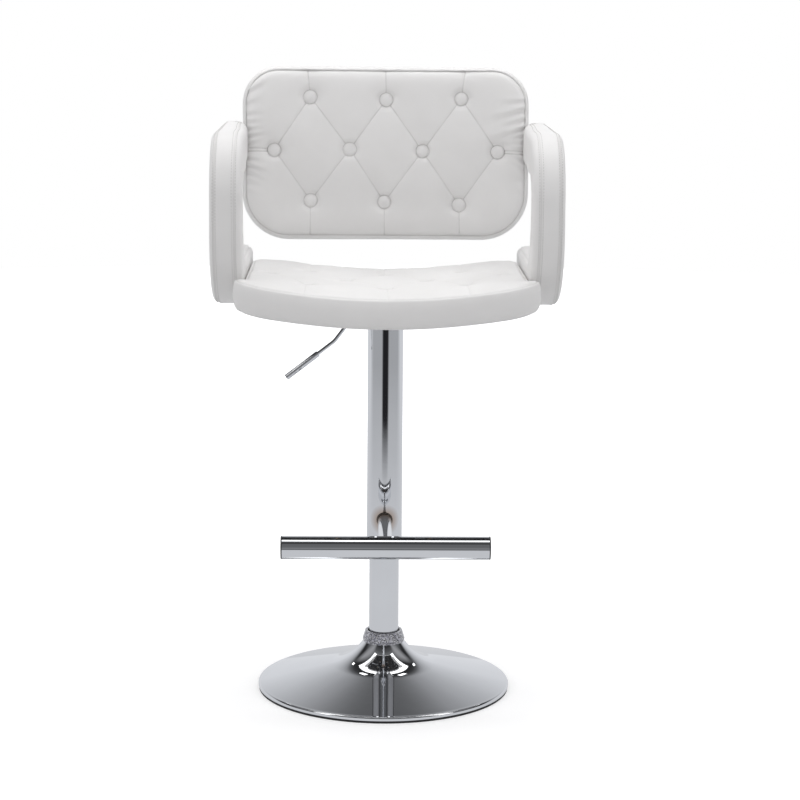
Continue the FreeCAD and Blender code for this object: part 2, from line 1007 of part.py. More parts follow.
def mechanism_plate():
    """Steel plate let into the underside of the seat board."""
    body = new_body("mechanism_plate")
    sketch = new_sketch(body, "XY_Plane", plate_low)
    outline(sketch, rounded_box(d.plate_width / 2, d.plate_depth / 2, d.plate_corner))
    for where in plate_bolt_places(0):
        circle(sketch, where["x"], where["y"], d.bolt_dia / 2 + 0.5)
    pad(body, sketch, d.plate_thick)
    return body


def box(name, x, y, z, length, width, height):
    """Block from its lowest corner."""
    thing = doc.addObject("Part::Box", name)
    thing.setExpression("Length", text_of(length))
    thing.setExpression("Width", text_of(width))
    thing.setExpression("Height", text_of(height))
    return place(thing, x, y, z)


def mechanism_housing():
    """Pressed box welded under the plate, with two ears for the lever's pivot pin."""
    half_x = d.housing_width / 2
    half_y = d.housing_depth / 2
    wall = d.housing_wall
    depth = plate_low - cylinder_top
    outer = box("housing_outer", -half_x, -half_y, cylinder_top, d.housing_width, d.housing_depth, depth)
    room = box(
        "housing_room",
        wall - half_x,
        wall - half_y,
        housing_floor,
        d.housing_width - 2 * wall,
        d.housing_depth - 2 * wall,
        depth,
    )
    shell = cut("housing_shell", outer, room)
    hole = ring_solid("housing_hole", d.socket_dia / 2 + d.fit_gap / 2, cylinder_top - 1, housing_floor + 1)
    slot_half = lever_r + 0.8
    slot_low = lever_z - lever_r - 3.5
    slot_height = d.lever_dia + 6
    slot = box("housing_slot", -half_x - 1, -slot_half, slot_low, wall + 2, 2 * slot_half, slot_height)
    pierced = cut("housing_pierced", cut("housing_drilled", shell, hole), slot)
    ear_y = d.lever_hub_width / 2 + 0.2
    ear_x = -d.lever_pivot - d.ear_width / 2
    ears = [
        box(name, ear_x, y, housing_floor, d.ear_width, d.ear_thick, d.ear_height)
        for name, y in (("housing_ear_rear", ear_y), ("housing_ear_front", -ear_y - d.ear_thick))
    ]
    bore = lever_axle("housing_pin_bore", d.lever_pin_dia / 2 + 0.02, ear_y + d.ear_thick + 1)
    return cut("mechanism_housing", fuse("housing_with_ears", pierced, *ears), bore)


def lever_axle(name, radius, half):
    """Round bar along Y at the lever's pivot."""
    body = lathe(name, [(0, -half), (radius, -half), (radius, half), (0, half)], "XY_Plane")
    return place(body, x=-d.lever_pivot, z=lever_z)


def lever_pivot_pin():
    half = d.lever_hub_width / 2 + 0.2 + d.ear_thick + 0.5
    return lever_axle("lever_pivot_pin", d.lever_pin_dia / 2, half)


def mechanism_bolts():
    head = plate_low - d.bolt_washer_thick
    length = d.bolt_washer_thick + d.plate_thick + d.board_thick - 3
    bolt = hex_bolt("mechanism_bolt", d.bolt_head, d.bolt_head_thick, d.bolt_dia, length)
    return cluster("mechanism_bolts", bolt, plate_bolt_places(head))


def mechanism_washers():
    washer = ring("mechanism_washer", d.bolt_dia / 2 + d.nut_room, d.bolt_washer_dia / 2, 0, d.bolt_washer_thick)
    return cluster("mechanism_washers", washer, plate_bolt_places(plate_low - d.bolt_washer_thick))


def tee_nut(name, bore, barrel, depth):
    """Tee nut whose flange top is at z = 0 and whose barrel hangs down by depth."""
    flange = d.nut_flange / 2
    seat = -d.nut_flange_thick
    return lathe(
        name, [(bore, -depth), (barrel, -depth), (barrel, seat), (flange, seat), (flange, 0), (bore, 0)]
    )


def tee_nut_bore(name, barrel, depth):
    """The hole in the board for such a nut, open above and below."""
    room = d.nut_flange / 2 + d.nut_room
    seat = -d.nut_flange_thick
    top = depth / 2
    return lathe(name, [(0, -depth), (barrel, -depth), (barrel, seat), (room, seat), (room, top), (0, top)])


def plate_nut_height():
    """Flange top of the tee nuts over the mechanism plate, just below the board's face."""
    return saddle_height(d.plate_bolt_x, board_top_r) - d.nut_sink


def mechanism_nuts():
    nut = tee_nut("mechanism_nut", d.bolt_dia / 2 + 0.02, d.nut_barrel / 2, d.board_thick - 4)
    return cluster("mechanism_nuts", nut, plate_bolt_places(plate_nut_height()))


# ---------------------------------------------------------------- lever


def lever_rod():
    """Bent rod with a cross hub on its pivot pin; its inner tip lies over the release pin."""
    body = new_body("lever_rod")
    elbow_half = d.lever_elbow_bend * tangent(d.lever_steep / 2)
    knee_half = d.lever_knee_bend * tangent((d.lever_steep - d.lever_slope) / 2)
    steep_x = -cosine(d.lever_steep)
    steep_z = -sine(d.lever_steep)
    slope_x = -cosine(d.lever_slope)
    slope_z = -sine(d.lever_slope)
    knee_x = steep_x * d.lever_drop - d.lever_elbow
    knee_z = steep_z * d.lever_drop + lever_z
    corners = [
        (d.lever_tip, lever_z),
        (elbow_half - d.lever_elbow, lever_z),
        (elbow_half * steep_x - d.lever_elbow, elbow_half * steep_z + lever_z, "bend"),
        (knee_x - knee_half * steep_x, knee_z - knee_half * steep_z),
        (knee_x + knee_half * slope_x, knee_z + knee_half * slope_z, "bend"),
        (knee_x + d.lever_tail * slope_x, knee_z + d.lever_tail * slope_z),
    ]
    spine = outline(new_sketch(body, "XZ_Plane"), corners, closed=False)
    profile = circle(new_sketch(body, "YZ_Plane", d.lever_tip), 0, lever_z, lever_r)
    pipe(body, profile, spine)
    hub = circle(new_sketch(body, "XZ_Plane"), -d.lever_pivot, lever_z, d.lever_hub_dia / 2)
    pad(body, hub, d.lever_hub_width, both_ways=True)
    bore = circle(new_sketch(body, "XZ_Plane"), -d.lever_pivot, lever_z, d.lever_pin_dia / 2 + d.fit_gap)
    pocket(body, bore, d.lever_hub_width * 2, both_ways=True)
    return body


def lever_grip():
    """Handle sleeve pushed over the rod's end."""
    bore = lever_r + 0.02
    grip_r = d.grip_dia / 2
    low = -d.grip_cap
    top = d.grip_length - d.grip_cap
    section = [(low, 0), (0, 0), (0, bore), (top, bore), (top, grip_r), (low, grip_r)]
    body = lathe("lever_grip", section, "XY_Plane", "H_Axis")
    knee_x = -cosine(d.lever_steep) * d.lever_drop - d.lever_elbow
    knee_z = lever_z - sine(d.lever_steep) * d.lever_drop
    end_x = knee_x - (d.lever_tail + 0.1) * cosine(d.lever_slope)
    end_z = knee_z - (d.lever_tail + 0.1) * sine(d.lever_slope)
    return place(body, x=end_x, z=end_z, axis=(0, 1, 0), angle=-d.lever_slope)


# ---------------------------------------------------------------- seat


def seat_band(name, low_radius, top_radius):
    """Saddle-curved slab between two radii about the saddle's axis, wider and deeper than the seat."""
    half = seat_waist + d.seat_ear + 20
    depth = d.seat_front + d.seat_rear + 40
    corners = [
        (-half, saddle_height(half, low_radius)),
        (half, saddle_height(half, low_radius), low_radius),
        (half, saddle_height(half, top_radius)),
        (-half, saddle_height(half, top_radius), -top_radius),
    ]
    return prism(name, "XZ_Plane", corners, depth, offset=-d.seat_rear - 20)


def seat_notch():
    """Distance in front of the column at which the seat widens, just ahead of the arms' curve."""
    bend_z = arm_low + d.arm_low_bend
    edge_z = saddle_height(seat_waist, seat_top_r)
    reach = d.arm_low_bend + d.arm_thick / 2
    curve = root_of(reach * reach - (bend_z - edge_z) * (bend_z - edge_z))
    return d.arm_front - d.arm_low_bend + curve + d.seat_ear_gap


def seat_plan(name, inset):
    """Upright prism of the seat's plan: bowed front, a step at the arms and rounded rear corners."""
    front = inset - d.seat_front
    rear = d.seat_rear - inset
    wide = seat_waist + d.seat_ear - inset
    waist = seat_waist - inset
    span = seat_waist + d.seat_ear - d.seat_corner_width
    corner_y = d.seat_corner_depth - d.seat_front
    notch_y = -seat_notch() - inset
    edge_y = front + d.seat_bow
    bow_radius = dome(span, d.seat_bow)
    turn_y = d.seat_rear - d.seat_rear_corner
    turn_x = seat_waist - d.seat_rear_corner
    front_corner = d.seat_corner_radius - inset
    rear_corner = d.seat_rear_corner - inset
    corners = [
        (span, edge_y, bow_radius),
        (wide, corner_y, front_corner),
        (wide, notch_y),
        (waist, notch_y),
        (waist, turn_y),
        (turn_x, rear, rear_corner),
        (-turn_x, rear),
        (-waist, turn_y, rear_corner),
        (-waist, notch_y),
        (-wide, notch_y),
        (-wide, corner_y),
        (-span, edge_y, front_corner),
    ]
    return prism(name, "XY_Plane", corners, 200, offset=d.seat_height - 60)


def seat_plate_room(name, gap):
    """Block that clears the mechanism plate from below."""
    width = d.plate_width + 2 * gap
    depth = d.plate_depth + 2 * gap
    return box(name, -width / 2, -depth / 2, plate_top - 40, width, depth, 40)


def arm_bolt_places(radius):
    """Four places on the saddle, square to it, for things drawn upright at x = 0."""
    places = []
    for side in (-1, 1):
        for y in (d.angle_front + d.angle_bolt_inset, d.angle_front + d.angle_length - d.angle_bolt_inset):
            turn = turn_for(-side * arm_bolt_x, radius)
            places.append(
                dict(
                    x=-saddle_z * sine(turn),
                    y=y,
                    z=saddle_z - saddle_z * cosine(turn),
                    axis=(0, 1, 0),
                    angle=turn,
                )
            )
    return places


def arm_nut_height():
    return saddle_z - board_top_r - d.nut_room


def seat_board():
    """Bent plywood with a flat let in for the plate and holes for the tee nuts."""
    blank = common(
        "board_blank",
        seat_band("board_band", board_low_r, board_top_r),
        seat_plan("board_plan", d.board_inset),
    )
    flat = cut("board_flat", blank, seat_plate_room("board_plate_room", 0.5))
    plate_bore = tee_nut_bore("plate_nut_bore", d.nut_barrel / 2 + d.nut_room, 2 * d.board_thick)
    plate_bores = cluster("plate_nut_bores", plate_bore, plate_bolt_places(plate_nut_height()))
    arm_bore = tee_nut_bore("arm_nut_bore", d.nut_barrel / 2 + d.nut_room, 2 * d.board_thick)
    raised_bore = upright(place(arm_bore, z=arm_nut_height()))
    arm_bores = cluster("arm_nut_bores", raised_bore, arm_bolt_places(d.seat_saddle))
    return cut("seat_board", cut("board_drilled", flat, plate_bores), arm_bores)


def upright(piece):
    """Wrap a placed piece so that a link to it keeps its own placement."""
    thing = doc.addObject("Part::Compound", f"{piece.Name}_upright")
    thing.Links = [piece]
    return thing


def seat_dust_cover():
    """Black cloth stapled under the board, open round the plate and the arm bolts."""
    blank = common(
        "cover_blank",
        seat_band("cover_band", d.seat_saddle, board_low_r + 0.05),
        seat_plan("cover_plan", d.board_inset),
    )
    opened = cut("cover_open", blank, seat_plate_room("cover_plate_room", 2))
    bore = ring_solid("cover_bore", d.nut_barrel / 2 + 1, d.seat_height - 5, d.seat_height + 5)
    bores = cluster("cover_bores", upright(bore), arm_bolt_places(d.seat_saddle))
    return cut("seat_dust_cover", opened, bores)


def seat_tufts():
    """Places of the seat's buttons: rows of three, four and three."""
    places = []
    for row, count in ((-1, 3), (0, 4), (1, 3)):
        for k in range(count):
            places.append(((k - (count - 1) / 2) * d.tuft_x, d.seat_tuft_mid + row * d.seat_tuft_y))
    return places


def seat_button_places():
    return [dict(x=x, y=y, z=saddle_height(x, seat_top_r) - d.button_sink + d.button_gap) for x, y in seat_tufts()]


def seat_cushion():
    """Foam and cover as one soft solid, hollow below for the board, with wells for the buttons."""
    body = common(
        "cushion_blank",
        seat_band("cushion_band", d.seat_saddle, seat_top_r),
        seat_plan("cushion_plan", 0),
    )
    hollow = common(
        "cushion_hollow",
        seat_band("hollow_band", d.seat_saddle + 2, board_top_r - d.board_gap),
        seat_plan("hollow_plan", d.board_inset - d.board_gap),
    )
    open_below = cut("cushion_open", body, hollow)
    well_r = d.button_dia / 2 + d.button_room
    gap = d.button_gap
    well = lathe("seat_well", [(0, -gap), (well_r, -gap), (well_r, 30), (0, 30)])
    return cut("seat_cushion", open_below, cluster("seat_wells", well, seat_button_places()))


def button_profile():
    """Half section of a covered button standing on its flat back."""
    reach = d.button_dia / 2
    rise = d.button_dome - d.button_edge
    return [(0, 0), (reach, 0), (reach, d.button_edge), (0, d.button_dome, dome(reach, rise))]


def seat_buttons():
    return cluster("seat_buttons", lathe("seat_button", button_profile()), seat_button_places())


# ---------------------------------------------------------------- arms


def arm_route(sketch, low_end, high_end):
    """Centre line of the C: back along the seat, round the front and up to the back."""
    corners = [
        (low_end, arm_low),
        (d.arm_low_bend - d.arm_front, arm_low),
        (-d.arm_front, arm_low + d.arm_low_bend, "bend"),
        (-d.arm_front, arm_high - d.arm_high_bend),
        (d.arm_high_bend - d.arm_front, arm_high, "bend"),
        (high_end, arm_high),
    ]
    return outline(sketch, corners, closed=False)


def tube_end():
    """Depth of the tube's upper end, just past the rear face of the lug that is welded round it."""
    rear = d.back_curve + d.back_foam + d.board_thick + d.frame_gap + d.lug_thick
    lean = (arm_high - back_z) * sine(d.back_recline)
    return back_y + back_depth(arm_middle, rear) * cosine(d.back_recline) + lean + d.tube_overrun


def arm_tube_body(name, radii):
    """Pipe along the arm's centre line; a second radius makes it hollow."""
    body = new_body(name)
    low_end = arm_low_end - d.arm_tube_inset
    spine = arm_route(new_sketch(body, "YZ_Plane", arm_middle), low_end, tube_end())
    profile = new_sketch(body, "XZ_Plane", -low_end)
    for radius in radii:
        circle(profile, arm_middle, arm_low, radius)
    pipe(body, profile, spine)
    return body


def arm_angle():
    """Steel angle: one leg inside the arm pad, the other curved to lie under the seat."""
    inner = arm_inner + 0.2
    outer = inner + d.angle_thick
    top_radius = d.seat_saddle + d.frame_gap
    low_radius = top_radius + d.angle_thick
    corners = [
        (arm_inner - d.angle_foot, saddle_height(arm_inner - d.angle_foot, low_radius)),
        (outer, saddle_height(outer, low_radius), low_radius),
        (outer, arm_low + d.angle_rise),
        (inner, arm_low + d.angle_rise),
        (inner, saddle_height(inner, top_radius)),
        (arm_inner - d.angle_foot, saddle_height(arm_inner - d.angle_foot, top_radius), -top_radius),
    ]
    angle = prism("angle_blank", "XZ_Plane", corners, d.angle_length, offset=-d.angle_front, reverse=True)
    bore = ring_solid("angle_bore", d.arm_bolt_dia / 2 + d.bolt_room, d.seat_height - 12, d.seat_height + 8)
    return cut("arm_angle", angle, cluster("angle_bores", upright(bore), arm_bolt_places(d.seat_saddle)))


def arm_standoffs():
    """Two short bars that join the angle to the tube."""
    inner = arm_inner + d.angle_thick
    length = d.arm_width / 2 - d.angle_thick - d.arm_tube / 2 + 2
    body = new_body("arm_standoff")
    sketch = circle(new_sketch(body, "YZ_Plane", inner), 0, arm_low, d.standoff_dia / 2)
    pad(body, sketch, length)
    first = d.angle_front + d.standoff_inset
    last = d.angle_front + d.angle_length - d.standoff_inset
    return cluster("arm_standoffs", body, [dict(y=first), dict(y=last)])


def arm_lug():
    """Curved plate on the tube's upper end that lies behind the back board."""
    inner_r = d.back_curve + d.back_foam + d.board_thick + d.frame_gap
    outer_r = inner_r + d.lug_thick
    far = arm_middle + d.arm_tube / 2 + d.lug_margin
    corners = [
        (arm_inner - d.lug_foot, back_depth(arm_inner - d.lug_foot, inner_r)),
        (far, back_depth(far, inner_r), -inner_r),
        (far, back_depth(far, outer_r)),
        (arm_inner - d.lug_foot, back_depth(arm_inner - d.lug_foot, outer_r), outer_r),
    ]
    plate = prism("lug_blank", "XY_Plane", corners, d.lug_height, offset=lug_middle(), both_ways=True)
    hole = d.arm_bolt_dia / 2 + d.bolt_room
    bore = lathe("lug_bore", [(0, 0), (hole, 0), (hole, 80), (0, 80)], "XY_Plane")
    drilled = cut("lug_drilled", plate, cluster("lug_bores", bore, lug_bolt_places()))
    return on_back(upright(drilled))


def lug_middle():
    """Height of the lugs in the back's own frame: level with the arm's upper member."""
    return arm_high - back_z


def arm_frame_right():
    """Welded steel frame: tube, stand-offs, seat angle and back lug."""
    radius = d.arm_tube / 2
    tube = arm_tube_body("arm_tube_right", [radius, radius - d.arm_tube_wall])
    return fuse("arm_frame_right", tube, arm_standoffs(), arm_angle(), arm_lug())


def arm_pad_blank():
    """Padded C with a rounded rectangular section."""
    body = new_body("arm_pad_blank")
    spine = arm_route(new_sketch(body, "YZ_Plane", arm_middle), arm_low_end, tube_end() + d.tube_cover)
    profile = new_sketch(body, "XZ_Plane", -arm_low_end)
    half_x = d.arm_width / 2
    half_z = d.arm_thick / 2
    section = rounded_box(half_x, half_z, d.arm_corner)
    outline(profile, [(arm_middle + x, arm_low + z, *arc) for x, z, *arc in section])
    pipe(body, profile, spine)
    return body


def arm_room_right(frame):
    """The frame with its tube filled: what the soft pieces leave free for it."""
    return fuse("arm_room_right", frame, arm_tube_body("arm_tube_filled", [d.arm_tube / 2]))


def arm_pad_right(room):
    """The pad without the room of its frame and of the back's side."""
    return cut("arm_pad_right", cut("arm_pad_hollow", arm_pad_blank(), room), back_envelope())


def arm_washer_height():
    """Underside of the washers, which bear on the angle."""
    return d.seat_height - d.frame_gap - d.angle_thick - d.fit_gap - d.bolt_washer_thick


def arm_bolts():
    head = arm_washer_height()
    length = d.bolt_washer_thick + d.angle_thick + d.skin_thick + d.board_thick - 2
    bolt = hex_bolt("arm_bolt", d.arm_bolt_head, d.arm_bolt_head_thick, d.arm_bolt_dia, length)
    return cluster("arm_bolts", upright(place(bolt, z=head)), arm_bolt_places(d.seat_saddle))


def arm_washers():
    low = arm_washer_height()
    inner = d.arm_bolt_dia / 2 + d.nut_room
    washer = ring("arm_washer", inner, d.bolt_washer_dia / 2, low, low + d.bolt_washer_thick)
    return cluster("arm_washers", upright(washer), arm_bolt_places(d.seat_saddle))


def arm_nuts():
    nut = tee_nut("arm_nut", d.arm_bolt_dia / 2 + 0.02, d.nut_barrel / 2, d.board_thick - 2)
    return cluster("arm_nuts", upright(place(nut, z=arm_nut_height())), arm_bolt_places(d.seat_saddle))


# ---------------------------------------------------------------- back
# The back is drawn upright about its own middle, front face towards -Y, and then reclined.


def on_back(thing):
    """Recline a piece drawn in the back's own frame and set it in place."""
    return place(thing, y=back_y, z=back_z, axis=(1, 0, 0), angle=-d.back_recline)


def back_depth(x, radius):
    """Depth of the cylinder of the given radius about the back's upright axis, at x."""
    return root_of(radius * radius - x * x) - d.back_curve


def back_band(name, front_radius, rear_radius):
    """Slab between two radii about the upright axis in front of the back."""
    half = back_half + 20
    height = d.back_height + 40
    corners = [
        (half, back_depth(half, front_radius), -front_radius),
        (half, back_depth(half, rear_radius)),
        (-half, back_depth(half, rear_radius), rear_radius),
        (-half, back_depth(half, front_radius)),
    ]
    return prism(name, "XY_Plane", corners, height, both_ways=True)


def back_face(name, inset):
    """Prism of the back's front outline."""
    half = back_half - inset
    top = d.back_height / 2 - inset
    upper = d.back_top_corner - inset
    lower = d.back_low_corner - inset
    corners = [
        (lower - half, -top, "bend"),
        (half - lower, -top),
        (half, lower - top, "bend"),
        (half, top - upper),
        (half - upper, top, "bend"),
        (upper - half, top),
        (-half, top - upper, "bend"),
        (-half, lower - top),
    ]
    return prism(name, "XZ_Plane", corners, 400, both_ways=True)


def back_slab(name, front_radius, rear_radius, inset):
    band = back_band(f"{name}_band", front_radius, rear_radius)
    return common(name, band, back_face(f"{name}_face", inset))


def back_envelope():
    """The space that the back takes up, with a little clearance."""
    gap = d.back_gap
    rear = d.back_curve + d.back_thick + gap
    return on_back(upright(back_slab("back_space", d.back_curve - gap, rear, -gap)))


def lug_bolt_places():
    """Four places round the back's upright axis for things drawn along Y at x = 0."""
    radius = d.back_curve + d.back_foam + d.board_thick
    places = []
    for side in (-1, 1):
        turn = turn_for(-side * lug_bolt_x, radius)
        x = -d.back_curve * sine(turn)
        y = back_depth(x, d.back_curve)
        for row in (-1, 1):
            z = lug_middle() + row * d.lug_bolt_z
            places.append(dict(x=x, y=y, z=z, axis=(0, 0, 1), angle=turn))
    return places


def back_board():
    """Bent plywood inside the back, drilled for the lug bolts."""
    front = d.back_foam
    rear = front + d.board_thick
    seat = front + 2 * d.nut_sink + d.nut_flange_thick
    barrel = d.nut_barrel / 2 + d.nut_room
    room = d.nut_flange / 2 + d.nut_room
    past = d.board_thick
    bore = lathe(
        "back_nut_bore",
        [
            (0, front - past),
            (room, front - past),
            (room, seat),
            (barrel, seat),
            (barrel, rear + past),
            (0, rear + past),
        ],
        "XY_Plane",
    )
    blank = back_slab("back_board_blank", d.back_curve + front, d.back_curve + rear, d.board_inset)
    bores = cluster("back_nut_bores", bore, lug_bolt_places())
    return on_back(upright(cut("back_board_drilled", blank, bores)))


def back_nuts():
    front = d.back_foam + d.nut_sink
    flange = front + d.nut_flange_thick
    rear = d.back_foam + d.board_thick - 1
    inner = d.arm_bolt_dia / 2 + 0.02
    barrel = d.nut_barrel / 2
    room = d.nut_flange / 2
    nut = lathe(
        "back_nut",
        [(inner, front), (room, front), (room, flange), (barrel, flange), (barrel, rear), (inner, rear)],
        "XY_Plane",
    )
    return on_back(upright(cluster("back_nuts", nut, lug_bolt_places())))


def back_bolts():
    shank = d.arm_bolt_dia / 2
    tip = d.back_foam + 2
    seat = d.back_foam + d.board_thick + d.frame_gap + d.lug_thick + d.fit_gap
    head_r = d.lug_head_dia / 2
    top = seat + d.lug_head_thick
    bolt = lathe(
        "back_bolt",
        [
            (0, tip),
            (shank, tip),
            (shank, seat),
            (head_r, seat),
            (head_r, seat + 1),
            (0, top, dome(head_r, top - seat - 1)),
        ],
        "XY_Plane",
    )
    return on_back(upright(cluster("back_bolts", bolt, lug_bolt_places())))


def back_cover(rooms):
    """Upholstered rear panel, hollowed for the lugs and the bolt heads."""
    front = d.back_curve + d.back_foam + d.board_thick + 0.1
    rear = d.back_curve + d.back_thick
    panel = on_back(upright(back_slab("back_cover_slab", front, rear, d.board_inset)))
    head = lathe(
        "back_head_well",
        [(0, 40), (d.lug_head_dia / 2 + 0.4, 40), (d.lug_head_dia / 2 + 0.4, 52.3), (0, 52.3)],
        "XY_Plane",
    )
    heads = on_back(upright(cluster("back_head_wells", head, lug_bolt_places())))
    return cut("back_cover", cut("back_cover_pocketed", panel, heads), rooms)


def back_button_places():
    """Rows of three, four and three on the front face."""
    places = []
    for row, count in ((1, 3), (0, 4), (-1, 3)):
        for k in range(count):
            x = (k - (count - 1) / 2) * d.tuft_x
            y = back_depth(x, d.back_curve) + d.button_sink - d.button_gap
            places.append(dict(x=x, y=y, z=d.back_tuft_mid + row * d.back_tuft_z))
    return places


def back_buttons():
    corners = [(x, -y) + tuple(-c for c in rest) for x, y, *rest in button_profile()[1:]] + [(0, 0)]
    button = lathe("back_button", corners, "XY_Plane")
    return on_back(upright(cluster("back_buttons", button, back_button_places())))


def back_cushion(rooms):
    """Foam and cover of the back as one soft solid, hollow behind, with wells for the buttons."""
    rear = d.back_curve + d.back_thick
    blank = back_slab("back_cushion_blank", d.back_curve, rear, 0)
    front = d.back_curve + d.back_foam - d.board_gap
    hollow = back_slab("back_hollow", front, rear + 10, d.board_inset - d.board_gap)
    well_r = d.button_dia / 2 + d.button_room
    gap = d.button_gap
    well = lathe("back_well", [(0, -60), (well_r, -60), (well_r, gap), (0, gap)], "XY_Plane")
    wells = cluster("back_wells", well, back_button_places())
    shaped = cut("back_cushion_welled", cut("back_cushion_open", blank, hollow), wells)
    return cut("back_cushion", on_back(upright(shaped)), rooms)


# ---------------------------------------------------------------- assembly


def build():
    """Every piece under the name of its file."""
    pieces = {}
    for make in (
        base_shell,
        rubber_rim,
        ballast_plate,
        base_hub,
        column_tube,
        column_floor,
        collar_ring,
        collar_gasket,
        guide_bush,
        bearing_lower_race,
        bearing_balls,
        bearing_cage,
        bearing_upper_race,
        piston_rod,
        rod_clip,
        rod_washer,
        piston,
        gas_cylinder,
        rod_guide,
        release_pin,
        sleeve_tube,
        sleeve_bush,
        sleeve_spigot,
        sleeve_screw,
        footrest_stub,
        footrest_bar,
        footrest_cap_right,
        cylinder_socket,
        mechanism_plate,
        mechanism_housing,
        mechanism_bolts,
        mechanism_washers,
        mechanism_nuts,
        lever_pivot_pin,
        lever_rod,
        lever_grip,
        seat_board,
        seat_dust_cover,
        seat_cushion,
        seat_buttons,
        arm_frame_right,
        arm_bolts,
        arm_washers,
        arm_nuts,
        back_board,
        back_nuts,
        back_bolts,
        back_buttons,
    ):
        pieces[make.__name__] = make()
    frame = pieces["arm_frame_right"]
    pieces["arm_frame_left"] = mirrored("arm_frame_left", frame)
    room = arm_room_right(frame)
    pieces["arm_pad_right"] = arm_pad_right(room)
    pieces["arm_pad_left"] = mirrored("arm_pad_left", pieces["arm_pad_right"])
    pieces["footrest_cap_left"] = mirrored("footrest_cap_left", pieces["footrest_cap_right"])
    rooms = fuse("both_arm_rooms", room, mirrored("arm_room_left", room))
    pieces["back_cover"] = back_cover(rooms)
    pieces["back_cushion"] = back_cushion(rooms)
    return pieces


def check(pieces):
    """Stop if any object failed or any piece has no valid solid."""
    for thing in doc.Objects:
        if "Invalid" in thing.State or "Error" in thing.State:
            raise RuntimeError(f"{thing.Label} failed: {thing.State}")
    for name, thing in pieces.items():
        if thing.Shape.isNull() or not thing.Shape.isValid() or not thing.Shape.Solids:
            raise RuntimeError(f"{name} has no valid solid")


def main():
    pieces = build()
    doc.recompute()
    check(pieces)
    os.makedirs("parts", exist_ok=True)
    for name, thing in sorted(pieces.items()):
        thing.Label = name
        thing.Shape.exportStep(f"parts/{name}.step")
        print(f"{name}: {len(thing.Shape.Solids)} solids, {thing.Shape.Volume:.1f} mm3")


main()
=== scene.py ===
import math

import bmesh
import bpy
import numpy as np
from mathutils import Matrix, Vector
from mathutils.bvhtree import BVHTree
from mathutils.geometry import delaunay_2d_cdt
from mathutils.kdtree import KDTree


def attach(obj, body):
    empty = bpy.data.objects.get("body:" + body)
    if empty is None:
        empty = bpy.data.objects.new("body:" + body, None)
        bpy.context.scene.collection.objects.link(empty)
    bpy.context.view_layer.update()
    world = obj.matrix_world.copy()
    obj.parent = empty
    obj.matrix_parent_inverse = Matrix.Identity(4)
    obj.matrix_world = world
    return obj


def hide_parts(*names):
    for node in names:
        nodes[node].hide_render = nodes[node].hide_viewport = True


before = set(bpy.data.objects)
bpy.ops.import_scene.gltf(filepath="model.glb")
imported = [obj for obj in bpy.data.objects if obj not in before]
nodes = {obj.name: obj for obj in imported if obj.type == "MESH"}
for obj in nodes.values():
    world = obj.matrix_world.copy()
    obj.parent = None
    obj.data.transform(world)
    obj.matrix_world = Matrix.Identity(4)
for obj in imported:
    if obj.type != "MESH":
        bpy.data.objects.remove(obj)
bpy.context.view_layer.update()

# ---- Trumpet base ---------------------------------------------------------------
# A spun steel shell, polished and chrome plated, with a rolled rim that stands on a black rubber
# ring. The ballast plate and the hub that holds the column are inside it.


def feed(tree, socket, value):
    """Link a socket to the output that feeds it, or set its value. A colour has three levels."""
    if isinstance(value, bpy.types.NodeSocket):
        tree.links.new(value, socket)
    else:
        socket.default_value = (*value, 1.0) if socket.type == "RGBA" else value


def node_in(tree, kind, given=(), **settings):
    """New node with its settings, and what feeds its inputs, by name or number."""
    made = tree.nodes.new(kind)
    for key, value in settings.items():
        setattr(made, key, value)
    for key, value in dict(given).items():
        feed(tree, made.inputs[key], value)
    return made


def noise_on(tree, where, scale, detail=4.0):
    given = {"Vector": where, "Scale": scale, "Detail": detail, "Roughness": 0.55}
    return node_in(tree, "ShaderNodeTexNoise", given).outputs["Fac"]


def cells_on(tree, where, scale):
    given = {"Vector": where, "Scale": scale}
    cells = node_in(tree, "ShaderNodeTexVoronoi", given, feature="DISTANCE_TO_EDGE")
    given = {"Value": cells.outputs["Distance"], "From Max": 0.16}
    return node_in(tree, "ShaderNodeMapRange", given, interpolation_type="SMOOTHSTEP").outputs["Result"]


def ranged(tree, value, low, high, start=0.3, end=0.7):
    given = {"Value": value, "From Min": start, "From Max": end, "To Min": low, "To Max": high}
    return node_in(tree, "ShaderNodeMapRange", given).outputs["Result"]


def mixed(tree, share, first, second):
    """Colour that goes from first to second as share goes from 0 to 1."""
    return node_in(tree, "ShaderNodeMix", {"Factor": share, 6: first, 7: second}, data_type="RGBA").outputs[2]


def finish_of(name, colour, dark, rough, metal=0.0, cloud=9.0, speck=160.0, bumps=(), **fixed):
    """Material whose colour drifts to dark in soft clouds, with fine changes of gloss. Each of its bumps
    is cells or noise, with a scale and a depth in metres."""
    material = bpy.data.materials.new(name)
    material.use_nodes = True
    tree = material.node_tree
    shader = tree.nodes["Principled BSDF"]
    where = node_in(tree, "ShaderNodeTexCoord").outputs["Object"]
    clouds = ranged(tree, noise_on(tree, where, cloud), 0.0, 1.0)
    feed(tree, shader.inputs["Base Color"], mixed(tree, clouds, colour, dark))
    feed(tree, shader.inputs["Roughness"], ranged(tree, noise_on(tree, where, speck), *rough))
    shader.inputs["Metallic"].default_value = metal
    for key, value in fixed.items():
        shader.inputs[key.replace("_", " ")].default_value = value
    for kind, scale, depth in bumps:
        height = cells_on(tree, where, scale) if kind == "cells" else noise_on(tree, where, scale, 3.0)
        bump = node_in(tree, "ShaderNodeBump", {"Height": height, "Distance": depth, "Strength": 1.0})
        if shader.inputs["Normal"].links:
            feed(tree, bump.inputs["Normal"], shader.inputs["Normal"].links[0].from_socket)
        feed(tree, shader.inputs["Normal"], bump.outputs["Normal"])
    return material


